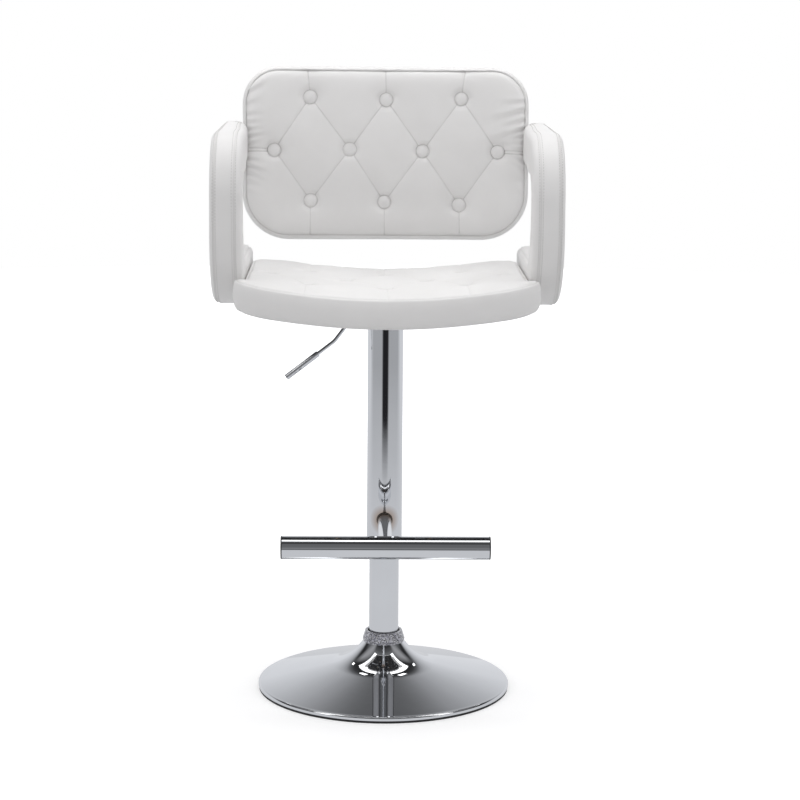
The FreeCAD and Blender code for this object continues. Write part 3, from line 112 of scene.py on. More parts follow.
def dress(material, *names):
    """Give CAD nodes their finish."""
    for name in names:
        mesh = nodes[name].data
        mesh.materials.clear()
        mesh.materials.append(material)


def placed(name, data):
    """Object made of a mesh, lamp or camera, put in the scene."""
    made = bpy.data.objects.new(name, data)
    bpy.context.scene.collection.objects.link(made)
    return made


def mesh_piece(name, points, faces, material):
    """Object from points in mm and faces, with its place in its mesh."""
    mesh = bpy.data.meshes.new(name)
    mesh.from_pydata([tuple(p) for p in np.asarray(points) * 0.001], [], [tuple(f) for f in faces])
    mesh.polygons.foreach_set("use_smooth", [True] * len(mesh.polygons))
    mesh.materials.append(material)
    mesh.update()
    return placed(name, mesh)


def arc(start, end, radius):
    """Points about 2 mm apart from start to end on an arc that turns left for a positive radius."""
    start, end = np.array(start, float), np.array(end, float)
    chord = end - start
    half = np.linalg.norm(chord) / 2
    side = np.array([-chord[1], chord[0]]) / (2 * half) * math.copysign(1, radius)
    centre = (start + end) / 2 + side * math.sqrt(radius**2 - half**2)
    sweep = 2 * math.asin(half / abs(radius)) * math.copysign(1, radius)
    count = max(6, int(abs(sweep * radius) / 2.0))
    found = []
    for turn in np.linspace(0, sweep, count + 1):
        c, s = math.cos(turn), math.sin(turn)
        found.append(centre + np.array([[c, -s], [s, c]]) @ (start - centre))
    return [tuple(p) for p in found]


def turned(name, profile, material, sides=256):
    """Solid of revolution from a closed profile of radius and height, which runs up the outside first."""
    points, faces = [], []
    around = np.arange(sides) * 2 * math.pi / sides
    for radius, height in profile:
        level = np.full(sides, height)
        points.append(np.column_stack([radius * np.cos(around), radius * np.sin(around), level]))
    for j in range(len(profile)):
        low, high = j * sides, (j + 1) % len(profile) * sides
        faces += [(low + k, low + (k + 1) % sides, high + (k + 1) % sides, high + k) for k in range(sides)]
    piece = mesh_piece(name, np.vstack(points), faces, material)
    piece.data.set_sharp_from_angle(angle=math.radians(30))
    return piece


chrome = finish_of(
    "chrome_plate", (0.80, 0.81, 0.83), (0.76, 0.77, 0.79), (0.025, 0.05), metal=1.0,
    bumps=[("noise", 22.0, 0.00004)],
)
black_steel = finish_of(
    "black_steel", (0.025, 0.025, 0.027), (0.04, 0.04, 0.042), (0.4, 0.55), metal=0.6,
    bumps=[("noise", 700.0, 0.0001)],
)
black_rubber = finish_of(
    "black_rubber", (0.012, 0.012, 0.013), (0.022, 0.022, 0.023), (0.6, 0.8), bumps=[("noise", 900.0, 0.0001)]
)
base_radius, base_foot, base_roll = 205.0, 4.0, 3.0
rim_top = 10.0
base_flare = (87.5, 38.0)
base_neck = (33.5, 76.0)
base_curve = 93.0
shell_wall = 1.5
roll_inner = base_radius - base_roll
cone_run = np.linspace((roll_inner, rim_top), base_flare, 30)
base_profile = [(base_radius, base_foot)]
base_profile += arc((base_radius, rim_top - base_roll), (roll_inner, rim_top), base_roll)
base_profile += [tuple(p) for p in cone_run[1:-1]]
base_profile += arc(base_flare, base_neck, -base_curve)
inner_flare = (base_flare[0] - shell_wall / 4, base_flare[1] - shell_wall)
base_profile += arc((base_neck[0] - 1.2 * shell_wall, base_neck[1]), inner_flare, base_curve + shell_wall)
inner_roll = (base_radius - shell_wall, rim_top - base_roll)
base_profile += arc((roll_inner, rim_top - shell_wall), inner_roll, shell_wall - base_roll)
base_profile.append((base_radius - shell_wall, base_foot))
trumpet = turned("trumpet_shell", base_profile, chrome)
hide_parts("base_shell")
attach(trumpet, "foot")

dress(black_rubber, "rubber_rim")
dress(black_steel, "ballast_plate", "base_hub")

# ---- Collar ring ----------------------------------------------------------------
# A clear moulded ring that hides the joint of shell and column, with a black gasket in its bore.


def clear_plastic(name):
    """Clear plastic with the cut surface of a crystal moulding, and painted sparkle: a nearly white colour
    that drifts in small clouds to a dark blue-grey stands in for the light and refraction of a clear ring.
    """
    return finish_of(
        name, (0.98, 0.98, 1.0), (0.46, 0.46, 0.58), (0.02, 0.08), cloud=260.0, speck=420.0,
        bumps=[("cells", 190.0, 0.006), ("noise", 300.0, 0.003)], IOR=1.49, Transmission_Weight=0.15,
        Coat_Weight=1.0, Coat_Roughness=0.03,
    )


dress(clear_plastic("clear_acrylic"), "collar_ring")
dress(black_rubber, "collar_gasket")

# ---- Column ---------------------------------------------------------------------
# A plated steel tube that holds the gas spring. The spring turns on a ball bearing at its foot.

pale_plastic = finish_of(
    "pale_plastic", (0.62, 0.60, 0.55), (0.56, 0.54, 0.50), (0.4, 0.55), bumps=[("noise", 600.0, 0.00006)]
)
bright_steel = finish_of(
    "bright_steel", (0.60, 0.60, 0.61), (0.52, 0.52, 0.53), (0.16, 0.28), metal=1.0,
    bumps=[("noise", 900.0, 0.00003)],
)
grey_steel = finish_of(
    "grey_steel", (0.36, 0.36, 0.37), (0.28, 0.28, 0.29), (0.35, 0.5), metal=1.0,
    bumps=[("noise", 500.0, 0.00008)],
)
black_plastic = finish_of(
    "black_plastic", (0.018, 0.018, 0.019), (0.028, 0.028, 0.03), (0.35, 0.5),
    bumps=[("cells", 1400.0, 0.00005)],
)
dress(chrome, "column_tube")
dress(grey_steel, "column_floor", "rod_clip", "rod_washer")
dress(pale_plastic, "bearing_cage", "rod_guide")
dress(black_plastic, "guide_bush", "piston")
dress(bright_steel, "bearing_lower_race", "bearing_balls", "bearing_upper_race", "piston_rod", "release_pin")
dress(black_steel, "gas_cylinder")

# ---- Sleeve and footrest --------------------------------------------------------
# A plated cover tube hangs from the seat mechanism. A short stub is welded to it and to a plated
# bar, which is closed by pressed plastic caps. The welds leave a row of scales and a straw tint.

sleeve_radius = 28.5
stub_radius = 11.0
bar_radius = 17.75
bar_depth = -215.0
bar_height = 284.0


def repeat_tree(name, along):
    """Geometry Nodes group that sets a small piece at each mark, or at every pitch along their chain."""
    tree = bpy.data.node_groups.new(name, "GeometryNodeTree")
    for label, kind in (
        ("Geometry", "NodeSocketGeometry"),
        ("Piece", "NodeSocketObject"),
        ("Pitch", "NodeSocketFloat"),
        ("Material", "NodeSocketMaterial"),
    ):
        tree.interface.new_socket(label, in_out="INPUT", socket_type=kind)
    tree.interface.new_socket("Geometry", in_out="OUTPUT", socket_type="NodeSocketGeometry")
    given = node_in(tree, "NodeGroupInput").outputs
    places = given["Geometry"]
    outward = node_in(tree, "GeometryNodeInputNamedAttribute", {"Name": "outward"}, data_type="FLOAT_VECTOR")
    align = "FunctionNodeAlignRotationToVector"
    faced = node_in(tree, align, {"Vector": outward.outputs["Attribute"]}, axis="Z").outputs["Rotation"]
    if along:
        chain = node_in(tree, "GeometryNodeMeshToCurve", {"Mesh": places}).outputs["Curve"]
        steps = {"Curve": chain, "Length": given["Pitch"]}
        places = node_in(tree, "GeometryNodeResampleCurve", steps, mode="LENGTH").outputs["Curve"]
        ahead = {"Rotation": faced, "Vector": node_in(tree, "GeometryNodeInputTangent").outputs["Tangent"]}
        faced = node_in(tree, align, ahead, axis="X", pivot_axis="Z").outputs["Rotation"]
    smallest, largest, seed = 0.96, 1.04, 7
    size = {2: smallest, 3: largest, "Seed": seed}
    size = node_in(tree, "FunctionNodeRandomValue", size, data_type="FLOAT").outputs[1]
    shape = node_in(tree, "GeometryNodeObjectInfo", {"Object": given["Piece"]}).outputs["Geometry"]
    copies = {"Points": places, "Instance": shape, "Rotation": faced, "Scale": size}
    copies = node_in(tree, "GeometryNodeInstanceOnPoints", copies)
    real = node_in(tree, "GeometryNodeRealizeInstances", {"Geometry": copies.outputs["Instances"]})
    real = {"Geometry": real.outputs["Geometry"], "Material": given["Material"]}
    painted = node_in(tree, "GeometryNodeSetMaterial", real)
    node_in(tree, "NodeGroupOutput", {"Geometry": painted.outputs["Geometry"]})
    return tree


tree_at_marks = repeat_tree("piece_at_each_mark", along=False)
tree_along = repeat_tree("piece_along_a_seam", along=True)


def repeated(name, chains, piece, material, pitch=0.0):
    """Copies of a small piece at marks, or along chains when there is a pitch in mm. Each chain is its
    places in mm and an outward direction for each."""
    places, outward, edges = [], [], []
    for spots, ways in chains:
        first = len(places)
        places += [tuple(p) for p in np.asarray(spots) * 0.001]
        outward += [tuple(w) for w in ways]
        if pitch:
            edges += [(first + i, first + i + 1) for i in range(len(spots) - 1)]
    mesh = bpy.data.meshes.new(name + "_marks")
    mesh.from_pydata(places, edges, [])
    mesh.attributes.new("outward", "FLOAT_VECTOR", "POINT").data.foreach_set("vector", np.ravel(outward))
    marks = placed(name + "_marks", mesh)
    live = marks.modifiers.new("copies", "NODES")
    live.node_group = tree_along if pitch else tree_at_marks
    sockets = {s.name: s.identifier for s in live.node_group.interface.items_tree if s.in_out == "INPUT"}
    live[sockets["Piece"]] = piece
    live[sockets["Pitch"]] = pitch * 0.001
    live[sockets["Material"]] = material
    made = bpy.data.meshes.new_from_object(marks.evaluated_get(bpy.context.evaluated_depsgraph_get()))
    made.name = name
    result = placed(name, made)
    bpy.data.objects.remove(marks)
    bpy.data.objects.remove(piece)
    return result


def capped_form(name, first, rings, last, material, downward=False):
    """Closed form of equal rings of points between two end points."""
    sides = len(rings[0])
    end = 1 + len(rings) * sides
    faces = []
    for side in range(sides):
        after = (side + 1) % sides
        faces.append((0, 1 + after, 1 + side))
        for a in range(1, end - sides, sides):
            faces.append((a + side, a + after, a + sides + after, a + sides + side))
        faces.append((end, end - sides + side, end - sides + after))
    if downward:
        faces = [f[:1] + f[:0:-1] for f in faces]
    return mesh_piece(name, [first, *sum(rings, []), last], faces, material)


def bead(name, length, width, rise, sides=6, rows=3):
    """Small rounded grain lying along X on the XY plane, partly sunk in it: a stitch or a scale of weld."""
    sunk = 0.35
    rings = []
    for row in range(1, rows + 1):
        turn = math.pi * row / (rows + 1)
        ring = []
        for side in range(sides):
            round_it = 2 * math.pi * side / sides
            across = width / 2 * math.sin(turn) * math.cos(round_it)
            up = rise * (math.sin(turn) * math.sin(round_it) * 0.5 + 0.5 - sunk)
            ring.append((-length / 2 * math.cos(turn), across, up))
        rings.append(ring)
    level = rise * (0.5 - sunk)
    return capped_form(name, (-length / 2, 0, level), rings, (length / 2, 0, level), black_steel)


def tinted_chrome():
    """Chrome with the brown bloom that welding leaves beside the seam, fading over a few centimetres."""
    material = chrome.copy()
    material.name = "chrome_heat_tint"
    tree = material.node_tree
    shader = tree.nodes["Principled BSDF"]
    plated = shader.inputs["Base Color"].links[0].from_socket
    where = node_in(tree, "ShaderNodeTexCoord").outputs["Object"]
    weld = (0.0, -sleeve_radius * 0.001, bar_height * 0.001)
    away = node_in(tree, "ShaderNodeVectorMath", {0: where, 1: weld}, operation="DISTANCE").outputs["Value"]
    bloom = ranged(tree, away, 0.85, 0.0, 0.011, 0.026)
    feed(tree, shader.inputs["Base Color"], mixed(tree, bloom, plated, (0.42, 0.30, 0.22)))
    return material


heat_tint = tinted_chrome()
dress(heat_tint, "sleeve_tube", "footrest_stub")
dress(chrome, "footrest_bar")
dress(black_plastic, "footrest_cap_left", "footrest_cap_right", "sleeve_bush")
zinc_steel = finish_of(
    "zinc_steel", (0.56, 0.57, 0.58), (0.48, 0.49, 0.50), (0.28, 0.42), metal=1.0,
    bumps=[("noise", 800.0, 0.00005)],
)
dress(grey_steel, "sleeve_spigot")
dress(zinc_steel, "sleeve_screw")

weld_steel = finish_of(
    "weld_steel", (0.20, 0.17, 0.15), (0.10, 0.085, 0.075), (0.3, 0.5), metal=1.0,
    bumps=[("noise", 900.0, 0.0002)],
)
turns = np.linspace(0, 2 * math.pi, 49)
across, up = stub_radius * np.cos(turns), stub_radius * np.sin(turns)
weld_ways = np.stack([np.cos(turns), -0.8 + 0 * turns, np.sin(turns)], 1)
at_sleeve = np.stack([across, -np.sqrt(sleeve_radius**2 - across**2), bar_height + up], 1)
at_bar = np.stack([across, bar_depth + np.sqrt(bar_radius**2 - up**2), bar_height + up], 1)
welds = repeated(
    "footrest_welds",
    [(at_sleeve, weld_ways), (at_bar, weld_ways * (1, -1, 1))],
    bead("weld_scale", 3.2, 4.4, 3.0, sides=8, rows=4),
    weld_steel,
    pitch=1.6,
)
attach(welds, "seat_unit")

# ---- Seat mechanism -------------------------------------------------------------
# A pressed plate and housing, painted black, hold the head of the gas spring. Four zinc plated
# bolts pass through washers into nuts in the seat board.

dress(black_steel, "cylinder_socket", "mechanism_plate", "mechanism_housing")
dress(zinc_steel, "mechanism_bolts", "mechanism_washers", "mechanism_nuts")

# ---- Lever ----------------------------------------------------------------------
# A bent plated rod on a pivot pin in the housing, with a plated grip pushed over its end.

dress(chrome, "lever_rod", "lever_grip")
dress(bright_steel, "lever_pivot_pin")

# ---- Seat -----------------------------------------------------------------------
# A saddle-shaped foam cushion on a curved plywood board. Its white leatherette is cut as a top
# panel and a boxing, sewn together, pulled down by ten covered buttons and stapled under the board.

seat_top_curve = 1151.0
seat_low_curve = 1200.0
seat_curve_middle = 1819.0
button_radius = 11.3
button_rings = (3, 6, 9, 10.6, 11.6, 12.8, 14.4, 16.6)
fine_spacing, coarse_spacing = 2.5, 7.5
cloth_frames = 20
filling_limit = 4.0


def lengths_of(line):
    """Length along a line up to each of its points."""
    return np.concatenate([[0], np.cumsum(np.linalg.norm(np.diff(line, axis=0), axis=1))])


def spaced(line, length, places):
    """Points of a line at the given lengths along it."""
    return np.stack([np.interp(places, length, line[:, k]) for k in range(line.shape[1])], 1)


def near_tree(points):
    """Tree that finds the nearest of some points, flat ones at height 0."""
    tree = KDTree(len(points))
    for i, p in enumerate(points):
        tree.insert((*p, 0)[:3], i)
    tree.balance()
    return tree


def even_loop(corners, spacing):
    """Evenly spaced points round a closed shape, anticlockwise. A corner is x, y, radius."""
    steps = 24
    line = []
    for i, (x, y, radius) in enumerate(corners):
        corner = Vector((x, y))
        before = (Vector(corners[i - 1][:2]) - corner).normalized()
        after = (Vector(corners[(i + 1) % len(corners)][:2]) - corner).normalized()
        if radius == 0:
            line.append(corner)
            continue
        half = before.angle(after) / 2
        middle = corner + (before + after).normalized() * radius / math.sin(half)
        reach = radius / math.tan(half)
        first, last = corner + before * reach - middle, corner + after * reach - middle
        sweep = first.angle_signed(last)
        for k in range(steps + 1):
            line.append(middle + Matrix.Rotation(-sweep * k / steps, 2) @ first)
    closed = np.array([tuple(p) for p in line + line[:1]])
    length = lengths_of(closed)
    places = np.linspace(0, length[-1], round(length[-1] / spacing) + 1)[:-1]
    return spaced(closed, length, places)


def outward_of(loop):
    """Unit directions away from the inside of an anticlockwise loop, smoothed over a few points."""
    along = sum(np.roll(loop, -k, 0) - np.roll(loop, k, 0) for k in (1, 2, 3))
    ways = np.stack([along[:, 1], -along[:, 0]], 1)
    return ways / np.linalg.norm(ways, axis=1)[:, None]


def to_line(points, start, end):
    """Signed distance from the straight line start-end, and the share of the way along it."""
    start, end = np.array(start, float), np.array(end, float)
    way = end - start
    length = np.linalg.norm(way)
    away = points - start
    share = away @ way / length**2
    held = np.clip(share, 0, 1)
    side = (away[:, 1] * way[0] - away[:, 0] * way[1]) / length
    gap = np.linalg.norm(away - held[:, None] * way, axis=1)
    return np.where(side < 0, -gap, gap), share


def to_loop(points, loop):
    """Distance from a closed loop, by the two stretches beside the nearest point of the loop."""
    tree = near_tree(loop)
    near = np.array([tree.find((*p, 0))[1] for p in points], int)
    best = np.full(len(points), 1e9)
    for step in (-1, 0):
        a, b = loop[(near + step) % len(loop)], loop[(near + step + 1) % len(loop)]
        way = b - a
        share = np.clip(((points - a) * way).sum(1) / np.maximum((way * way).sum(1), 1e-12), 0, 1)
        best = np.minimum(best, np.linalg.norm(points - a - share[:, None] * way, axis=1))
    return best


def inside(points, loop):
    """Which points lie inside a closed loop."""
    found = np.zeros(len(points), bool)
    for (ax, ay), (bx, by) in zip(loop, np.roll(loop, -1, 0)):
        if ay != by:
            found ^= ((ay > points[:, 1]) != (by > points[:, 1])) & (
                points[:, 0] < (bx - ax) * (points[:, 1] - ay) / (by - ay) + ax
            )
    return found


def panel(rings, marks, spacing):
    """Points and triangles that fill a loop: its rings, then the marks, then a lattice between them."""
    row_rise, mark_grid, seam_gap, lattice_gap, sliver = 0.866, 0.55, 0.6, 0.7, 0.05
    loop, inner = rings[0], rings[-1]
    low, high = loop.min(0), loop.max(0)
    lattice = []
    for j, y in enumerate(np.arange(low[1], high[1], spacing * row_rise)):
        lattice += [(x, y) for x in np.arange(low[0] + (j % 2) * spacing / 2, high[0], spacing)]
    lattice = np.array(lattice)
    marks = np.asarray(marks, float).reshape(-1, 2)
    if len(marks):
        _, first = np.unique(np.round(marks / mark_grid).astype(int), axis=0, return_index=True)
        marks = marks[np.sort(first)]
        marks = marks[inside(marks, inner)]
        marks = marks[to_loop(marks, inner) > seam_gap]
    lattice = lattice[inside(lattice, inner)]
    kept = np.vstack([*rings, marks])
    tree = near_tree(kept)
    free = np.array([tree.find((*p, 0))[2] for p in lattice]) > lattice_gap * spacing
    points = np.vstack([kept, lattice[free]])
    count = len(loop)
    edges = [(i, (i + 1) % count) for i in range(count)]
    found = delaunay_2d_cdt([Vector(p) for p in points], edges, [], 1, 1e-5, False)
    spots, triangles = np.array([tuple(p) for p in found[0]]), np.array(found[2])
    # A triangle of three edge points is dropped if it is a sliver of a straight edge or lies outside.
    first, second = (spots[triangles[:, k]] - spots[triangles[:, 0]] for k in (1, 2))
    area = np.abs(first[:, 0] * second[:, 1] - first[:, 1] * second[:, 0])
    longest = np.maximum(np.linalg.norm(first, axis=1), np.linalg.norm(first - second, axis=1))
    on_edge = np.nonzero((triangles < count).all(1))[0]
    real = inside(spots[triangles[on_edge]].mean(1), loop) & (area[on_edge] > sliver * longest[on_edge])
    return spots, [tuple(f) for f in np.delete(triangles, on_edge[~real], 0)]


def crease_marks(start, end, spacing):
    """Rows of points along a crease, close together across it."""
    start, end = np.array(start, float), np.array(end, float)
    length = np.linalg.norm(end - start)
    way = (end - start) / length
    side = np.array([-way[1], way[0]])
    along = np.arange(0, length, spacing)[:, None]
    return np.vstack([start + along * way + off * side for off in (0, 0.9, -0.9, 2.0, -2.0, 3.4, -3.4)])


def ring_marks(centre, radii, spacing):
    """Rings of points round a button."""
    found = []
    for radius in radii:
        count = max(8, round(2 * math.pi * radius / spacing))
        turn = np.arange(count) * 2 * math.pi / count
        found.append(np.array(centre) + radius * np.stack([np.cos(turn), np.sin(turn)], 1))
    return np.vstack(found)


def wobble(points, scale, seed):
    """Slow unevenness from -1 to 1, the same each run."""
    waves = 9
    draw = np.random.default_rng(seed)
    total = np.zeros(len(points))
    for _ in range(waves):
        turn = draw.uniform(0, 2 * math.pi)
        pitch = scale * draw.uniform(0.6, 1.7)
        along = points @ np.array([math.cos(turn), math.sin(turn)])
        total += np.sin(along * 2 * math.pi / pitch + draw.uniform(0, 6.28))
    return total / (waves / 2)


def tufted(points, buttons, creases, well=9.0, fold=1.0):
    """Height of a panel that buttons pull in and creases join, and its share of painted shade in the creases
    and in a ring round each button. A crease is its start, its end, its strength and how far one side laps
    over the other."""
    height, painted_shade = np.zeros(len(points)), np.zeros(len(points))
    for x, y in buttons:
        away = np.hypot(points[:, 0] - x, points[:, 1] - y)
        height -= well * (0.64 * np.exp(-((away / 13.5) ** 3)) + 0.36 * np.exp(-away / 27.0))
        # Painted shade: a dark ring round each button, where the groove's shade falls.
        painted_shade = np.maximum(painted_shade, 0.42 * np.exp(-(((away - button_radius) / 1.4) ** 2)))
    for start, end, strength, lap in creases:
        side, share = to_line(points, start, end)
        ends = np.clip(np.minimum(share, 1 - share) * 14 + 0.6, 0, 1)
        pull = strength * (0.62 + 0.38 * np.abs(2 * np.clip(share, 0, 1) - 1) ** 1.5) * ends
        off = np.abs(side)
        height -= fold * pull * (1.25 * np.exp(-((off / 1.25) ** 2)) + 1.9 * np.exp(-off / 10.0))
        height += fold * lap * pull * np.tanh(side / 0.9) * np.exp(-off / 7.0)
        # Painted shade along each crease line.
        painted_shade = np.maximum(painted_shade, 0.62 * pull * np.exp(-((off / 1.1) ** 2)))
    return height, painted_shade


def smooth_rows(rows, count):
    """Rows of a profile, evenly spaced along a smooth line through the given ones."""
    rows = np.array(rows, float)
    padded = np.vstack([2 * rows[0] - rows[1], rows, 2 * rows[-1] - rows[-2]])
    line = []
    for i in range(len(rows) - 1):
        a, b, c, d = padded[i : i + 4]
        for t in np.linspace(0, 1, 12, endpoint=False):
            square, cube = 2 * a - 5 * b + 4 * c - d, 3 * b - a - 3 * c + d
            line.append(0.5 * (2 * b + (c - a) * t + square * t**2 + cube * t**3))
    line = np.vstack([line, rows[-1:]])
    length = lengths_of(line)
    return spaced(line, length, np.linspace(0, length[-1], count))


def sewn_form(name, face, triangles, rings, closing, material, painted_shade):
    """Closed soft form: a face panel, rings of the side, and a closing panel on the last ring."""
    count = len(rings[0])
    points = [face]
    faces = list(triangles)
    before = np.arange(count)
    total = len(face)
    for ring in rings:
        points.append(ring)
        now = total + np.arange(count)
        after = np.roll(np.arange(count), -1)
        faces += [(before[k], now[k], now[after[k]], before[after[k]]) for k in range(count)]
        before = now
        total += count
    back, back_triangles = closing
    shifted = np.concatenate([before, total + np.arange(len(back) - count)])
    points.append(back[count:])
    faces += [tuple(int(shifted[i]) for i in reversed(f)) for f in back_triangles]
    piece = mesh_piece(name, np.vstack(points), faces, material)
    # Each point's share of painted shade goes into the fold attribute; the closing panel gets none.
    painted_shade = np.concatenate([painted_shade, np.zeros(len(piece.data.vertices) - len(painted_shade))])
    piece.data.attributes.new("fold", "FLOAT", "POINT").data.foreach_set("value", painted_shade.astype(np.float32))
    return piece


def filling(make, held):
    """How a coarse cover moves when its foam fills it: its points at rest, and their moves."""
    cover, seam_count = make(coarse_spacing)
    rest = np.empty(3 * len(cover.data.vertices))
    cover.data.vertices.foreach_get("co", rest)
    rest = rest.reshape(-1, 3)
    sewn = cover.vertex_groups.new(name="sewn")
    fixed = held(rest * 1000)
    fixed[:seam_count] = True
    sewn.add([int(i) for i in np.nonzero(fixed)[0]], 1.0, "REPLACE")
    cloth = cover.modifiers.new("filling", "CLOTH")
    cloth.collision_settings.use_collision = False
    cloth.settings.quality = 6
    cloth.settings.mass = 0.4
    cloth.settings.tension_stiffness = cloth.settings.compression_stiffness = 25
    cloth.settings.shear_stiffness = 12
    cloth.settings.bending_stiffness = 1.5
    cloth.settings.use_pressure = True
    cloth.settings.uniform_pressure_force = 4.0
    cloth.settings.vertex_group_mass = "sewn"
    cloth.settings.effector_weights.gravity = 0.0
    for step in range(1, cloth_frames + 1):
        bpy.context.scene.frame_set(step)
    settled = cover.evaluated_get(bpy.context.evaluated_depsgraph_get()).to_mesh()
    moved = np.empty(3 * len(settled.vertices))
    settled.vertices.foreach_get("co", moved)
    moves = moved.reshape(-1, 3) - rest
    bpy.data.objects.remove(cover)
    bpy.context.scene.frame_set(1)
    return rest, moves


def fill_out(piece, rest, moves):
    """Give a finely meshed cover the moves of the coarse one, held softly below the limit."""
    nearest, blur = 6, 0.003
    tree = near_tree(rest)
    length = np.linalg.norm(moves, axis=1) * 1000
    held = filling_limit * np.tanh(length / filling_limit)
    moves = moves * (held / np.maximum(length, 1e-6))[:, None]
    for vertex in piece.data.vertices:
        near = tree.find_n(vertex.co, nearest)
        share = np.array([1 / (away**2 + blur**2) for _, _, away in near])
        vertex.co += Vector(share @ moves[[i for _, i, _ in near]] / share.sum())
    piece.data.update()


def leatherette(name, colour, dark):
    """Embossed white leatherette with painted shade: its colour darkens towards a warm grey where the fold
    attribute is high, in its folds, its seams and round its buttons.
    """
    material = finish_of(
        name, colour, dark, (0.40, 0.52), cloud=14.0, speck=420.0,
        bumps=[("cells", 1050.0, 0.00012), ("noise", 240.0, 0.00015)],
        Coat_Weight=0.06, Coat_Roughness=0.35,
    )
    tree = material.node_tree
    shader = tree.nodes["Principled BSDF"]
    plain = shader.inputs["Base Color"].links[0].from_socket
    # Painted shade: the fold attribute gives each point's share of shade in creases, seams and button rings,
    # and the colour is mixed towards a warm grey by that share.
    fold = node_in(tree, "ShaderNodeAttribute", attribute_name="fold")
    depth = ranged(tree, fold.outputs["Fac"], 0.0, 0.85, 0.1, 1.0)
    feed(tree, shader.inputs["Base Color"], mixed(tree, depth, plain, (0.30, 0.28, 0.265)))
    return material


white_leather = leatherette("white_leather", (0.87, 0.862, 0.853), (0.84, 0.831, 0.822))
white_thread = finish_of(
    "white_thread", (0.66, 0.65, 0.635), (0.57, 0.56, 0.545), (0.55, 0.75), bumps=[("noise", 2600.0, 0.0002)]
)
plywood = finish_of(
    "plywood", (0.52, 0.36, 0.21), (0.40, 0.26, 0.14), (0.55, 0.75), cloud=26.0,
    bumps=[("noise", 700.0, 0.0002)],
)
black_cloth = finish_of(
    "black_cloth", (0.018, 0.018, 0.019), (0.032, 0.032, 0.034), (0.8, 0.95),
    bumps=[("cells", 1600.0, 0.0003)], Sheen_Weight=0.25,
)


def saddle(x, curve):
    """Height of the seat's sideways curve."""
    return seat_curve_middle - np.sqrt(curve**2 - np.asarray(x) ** 2)


seat_front = [(x, -215 + 8 * (x / 176) ** 2, 0) for x in range(-168, 169, 12)]
seat_corner = [(203, -204, 70), (234.5, -176, 32), (234.5, -156, 14), (220.4, -138, 14), (220.4, 190, 70)]
seat_plan = seat_front + seat_corner + [(-x, y, radius) for x, y, radius in seat_corner[::-1]]
seat_buttons_at = [
    (x + dx, y + dy)
    for x, y, dx, dy in (
        (-124, -100, 0.8, 0.5), (0, -100, 1.0, -2.0), (124, -100, -0.5, 1.0),
        (-186, -12, 0.5, 1.0), (-62, -12, -1.0, 0.0), (62, -12, 1.0, -1.0), (186, -12, 0.0, 1.5),
        (-124, 76, 1.0, 0.0), (0, 76, -1.0, 1.0), (124, 76, 0.0, -1.0),
    )
]


def diamond_creases(buttons, near=130.0):
    """Creases between each button and its neighbours in the next row."""
    pairs = []
    for i, a in enumerate(buttons):
        for b in buttons[i + 1 :]:
            if abs(a[1] - b[1]) > 30 and math.dist(a, b) < near:
                pairs.append((a, b))
    return pairs


def cut_panel(corners, spacing, seam_in, buttons, creases):
    """A tufted panel laid flat: the cushion's outline, the ways out of it, then the panel's points, its
    triangles and each point's distance from the seam. A fine one has close points along its creases."""
    outline = even_loop(corners, spacing)
    ways = outward_of(outline)
    seam = outline - seam_in * ways
    rings, marks = [seam], np.array(buttons)
    if spacing == fine_spacing:
        rings += [seam - t * ways for t in (0.9, 2.0, 3.6)]
        marks = [crease_marks(c[0], c[1], 2.2) for c in creases]
        marks = np.vstack(marks + [ring_marks(p, button_rings, 2.3) for p in buttons])
    plan, triangles = panel(rings, marks, spacing)
    return outline, ways, plan, triangles, to_loop(plan, seam)


def sewn_cushion(name, cut, spacing, face, painted_shade, place, side, slack_to, sway, tucked, closed):
    """Cover made of a cut panel set in space, a boxing with the given profile of inset and depth, its
    edge tucked in, and a closing panel over the foam, with the number of points in its seam."""
    outline, ways, _, triangles, _ = cut
    seam_in, count = side[0][0], len(outline)
    run = np.arange(count) * spacing
    walls, wall_painted_shade = [], [painted_shade]
    for inset, depth in smooth_rows(side, 30 if spacing == fine_spacing else 9)[1:]:
        slack = sway(run, depth) * (inset < slack_to)
        walls.append(place(outline - (inset - slack)[:, None] * ways, depth))
        # Painted shade on the boxing's rows next to the seam; the tucked rows get none.
        seam_painted_shade = 0.3 * math.exp(-((inset - seam_in) ** 2) / 0.5) if depth < 25 else 0.0
        wall_painted_shade.append(np.full(count, seam_painted_shade))
    for inset, depth in tucked:
        walls.append(place(outline - inset * ways, depth))
        wall_painted_shade.append(np.zeros(count))
    inner, inner_triangles = panel([outline - tucked[-1][0] * ways], [], 14.0)
    closing = (closed(inner), inner_triangles)
    return sewn_form(name, face, triangles, walls, closing, white_leather, np.concatenate(wall_painted_shade)), count


def on_seat(plan, drop):
    """Plan points at a drop below the seat's top curve."""
    return np.column_stack([plan, saddle(plan[:, 0], seat_top_curve) - drop])


def under_seat(plan):
    """Plan points where the foam rests on the board."""
    return np.column_stack([plan, saddle(plan[:, 0], seat_low_curve - 13.2)])


def seat_sway(run, drop):
    """Slack of the seat's boxing: short ripples at the seam and slow waves half way down."""
    ripples = 0.25 * np.sin(run / 5.3 + 1.7 * np.sin(run / 31)) * math.exp(-max(drop - 6, 0) / 7.0)
    return ripples + 0.5 * np.sin(run / 61 + 0.4) * math.sin(math.pi * min(drop / 49, 1))


# Profile of the boxing from the seam down and under: inset from the outline, drop below the top curve.
seat_side = [
    (6.2, 4.0), (5.2, 3.2), (3.7, 3.7), (2.1, 6.4), (0.9, 11.0), (0.2, 17), (0, 25), (0.2, 32), (1.2, 39),
    (3.1, 44), (6.0, 47.3), (9.5, 48.8), (12.2, 49.2),
]


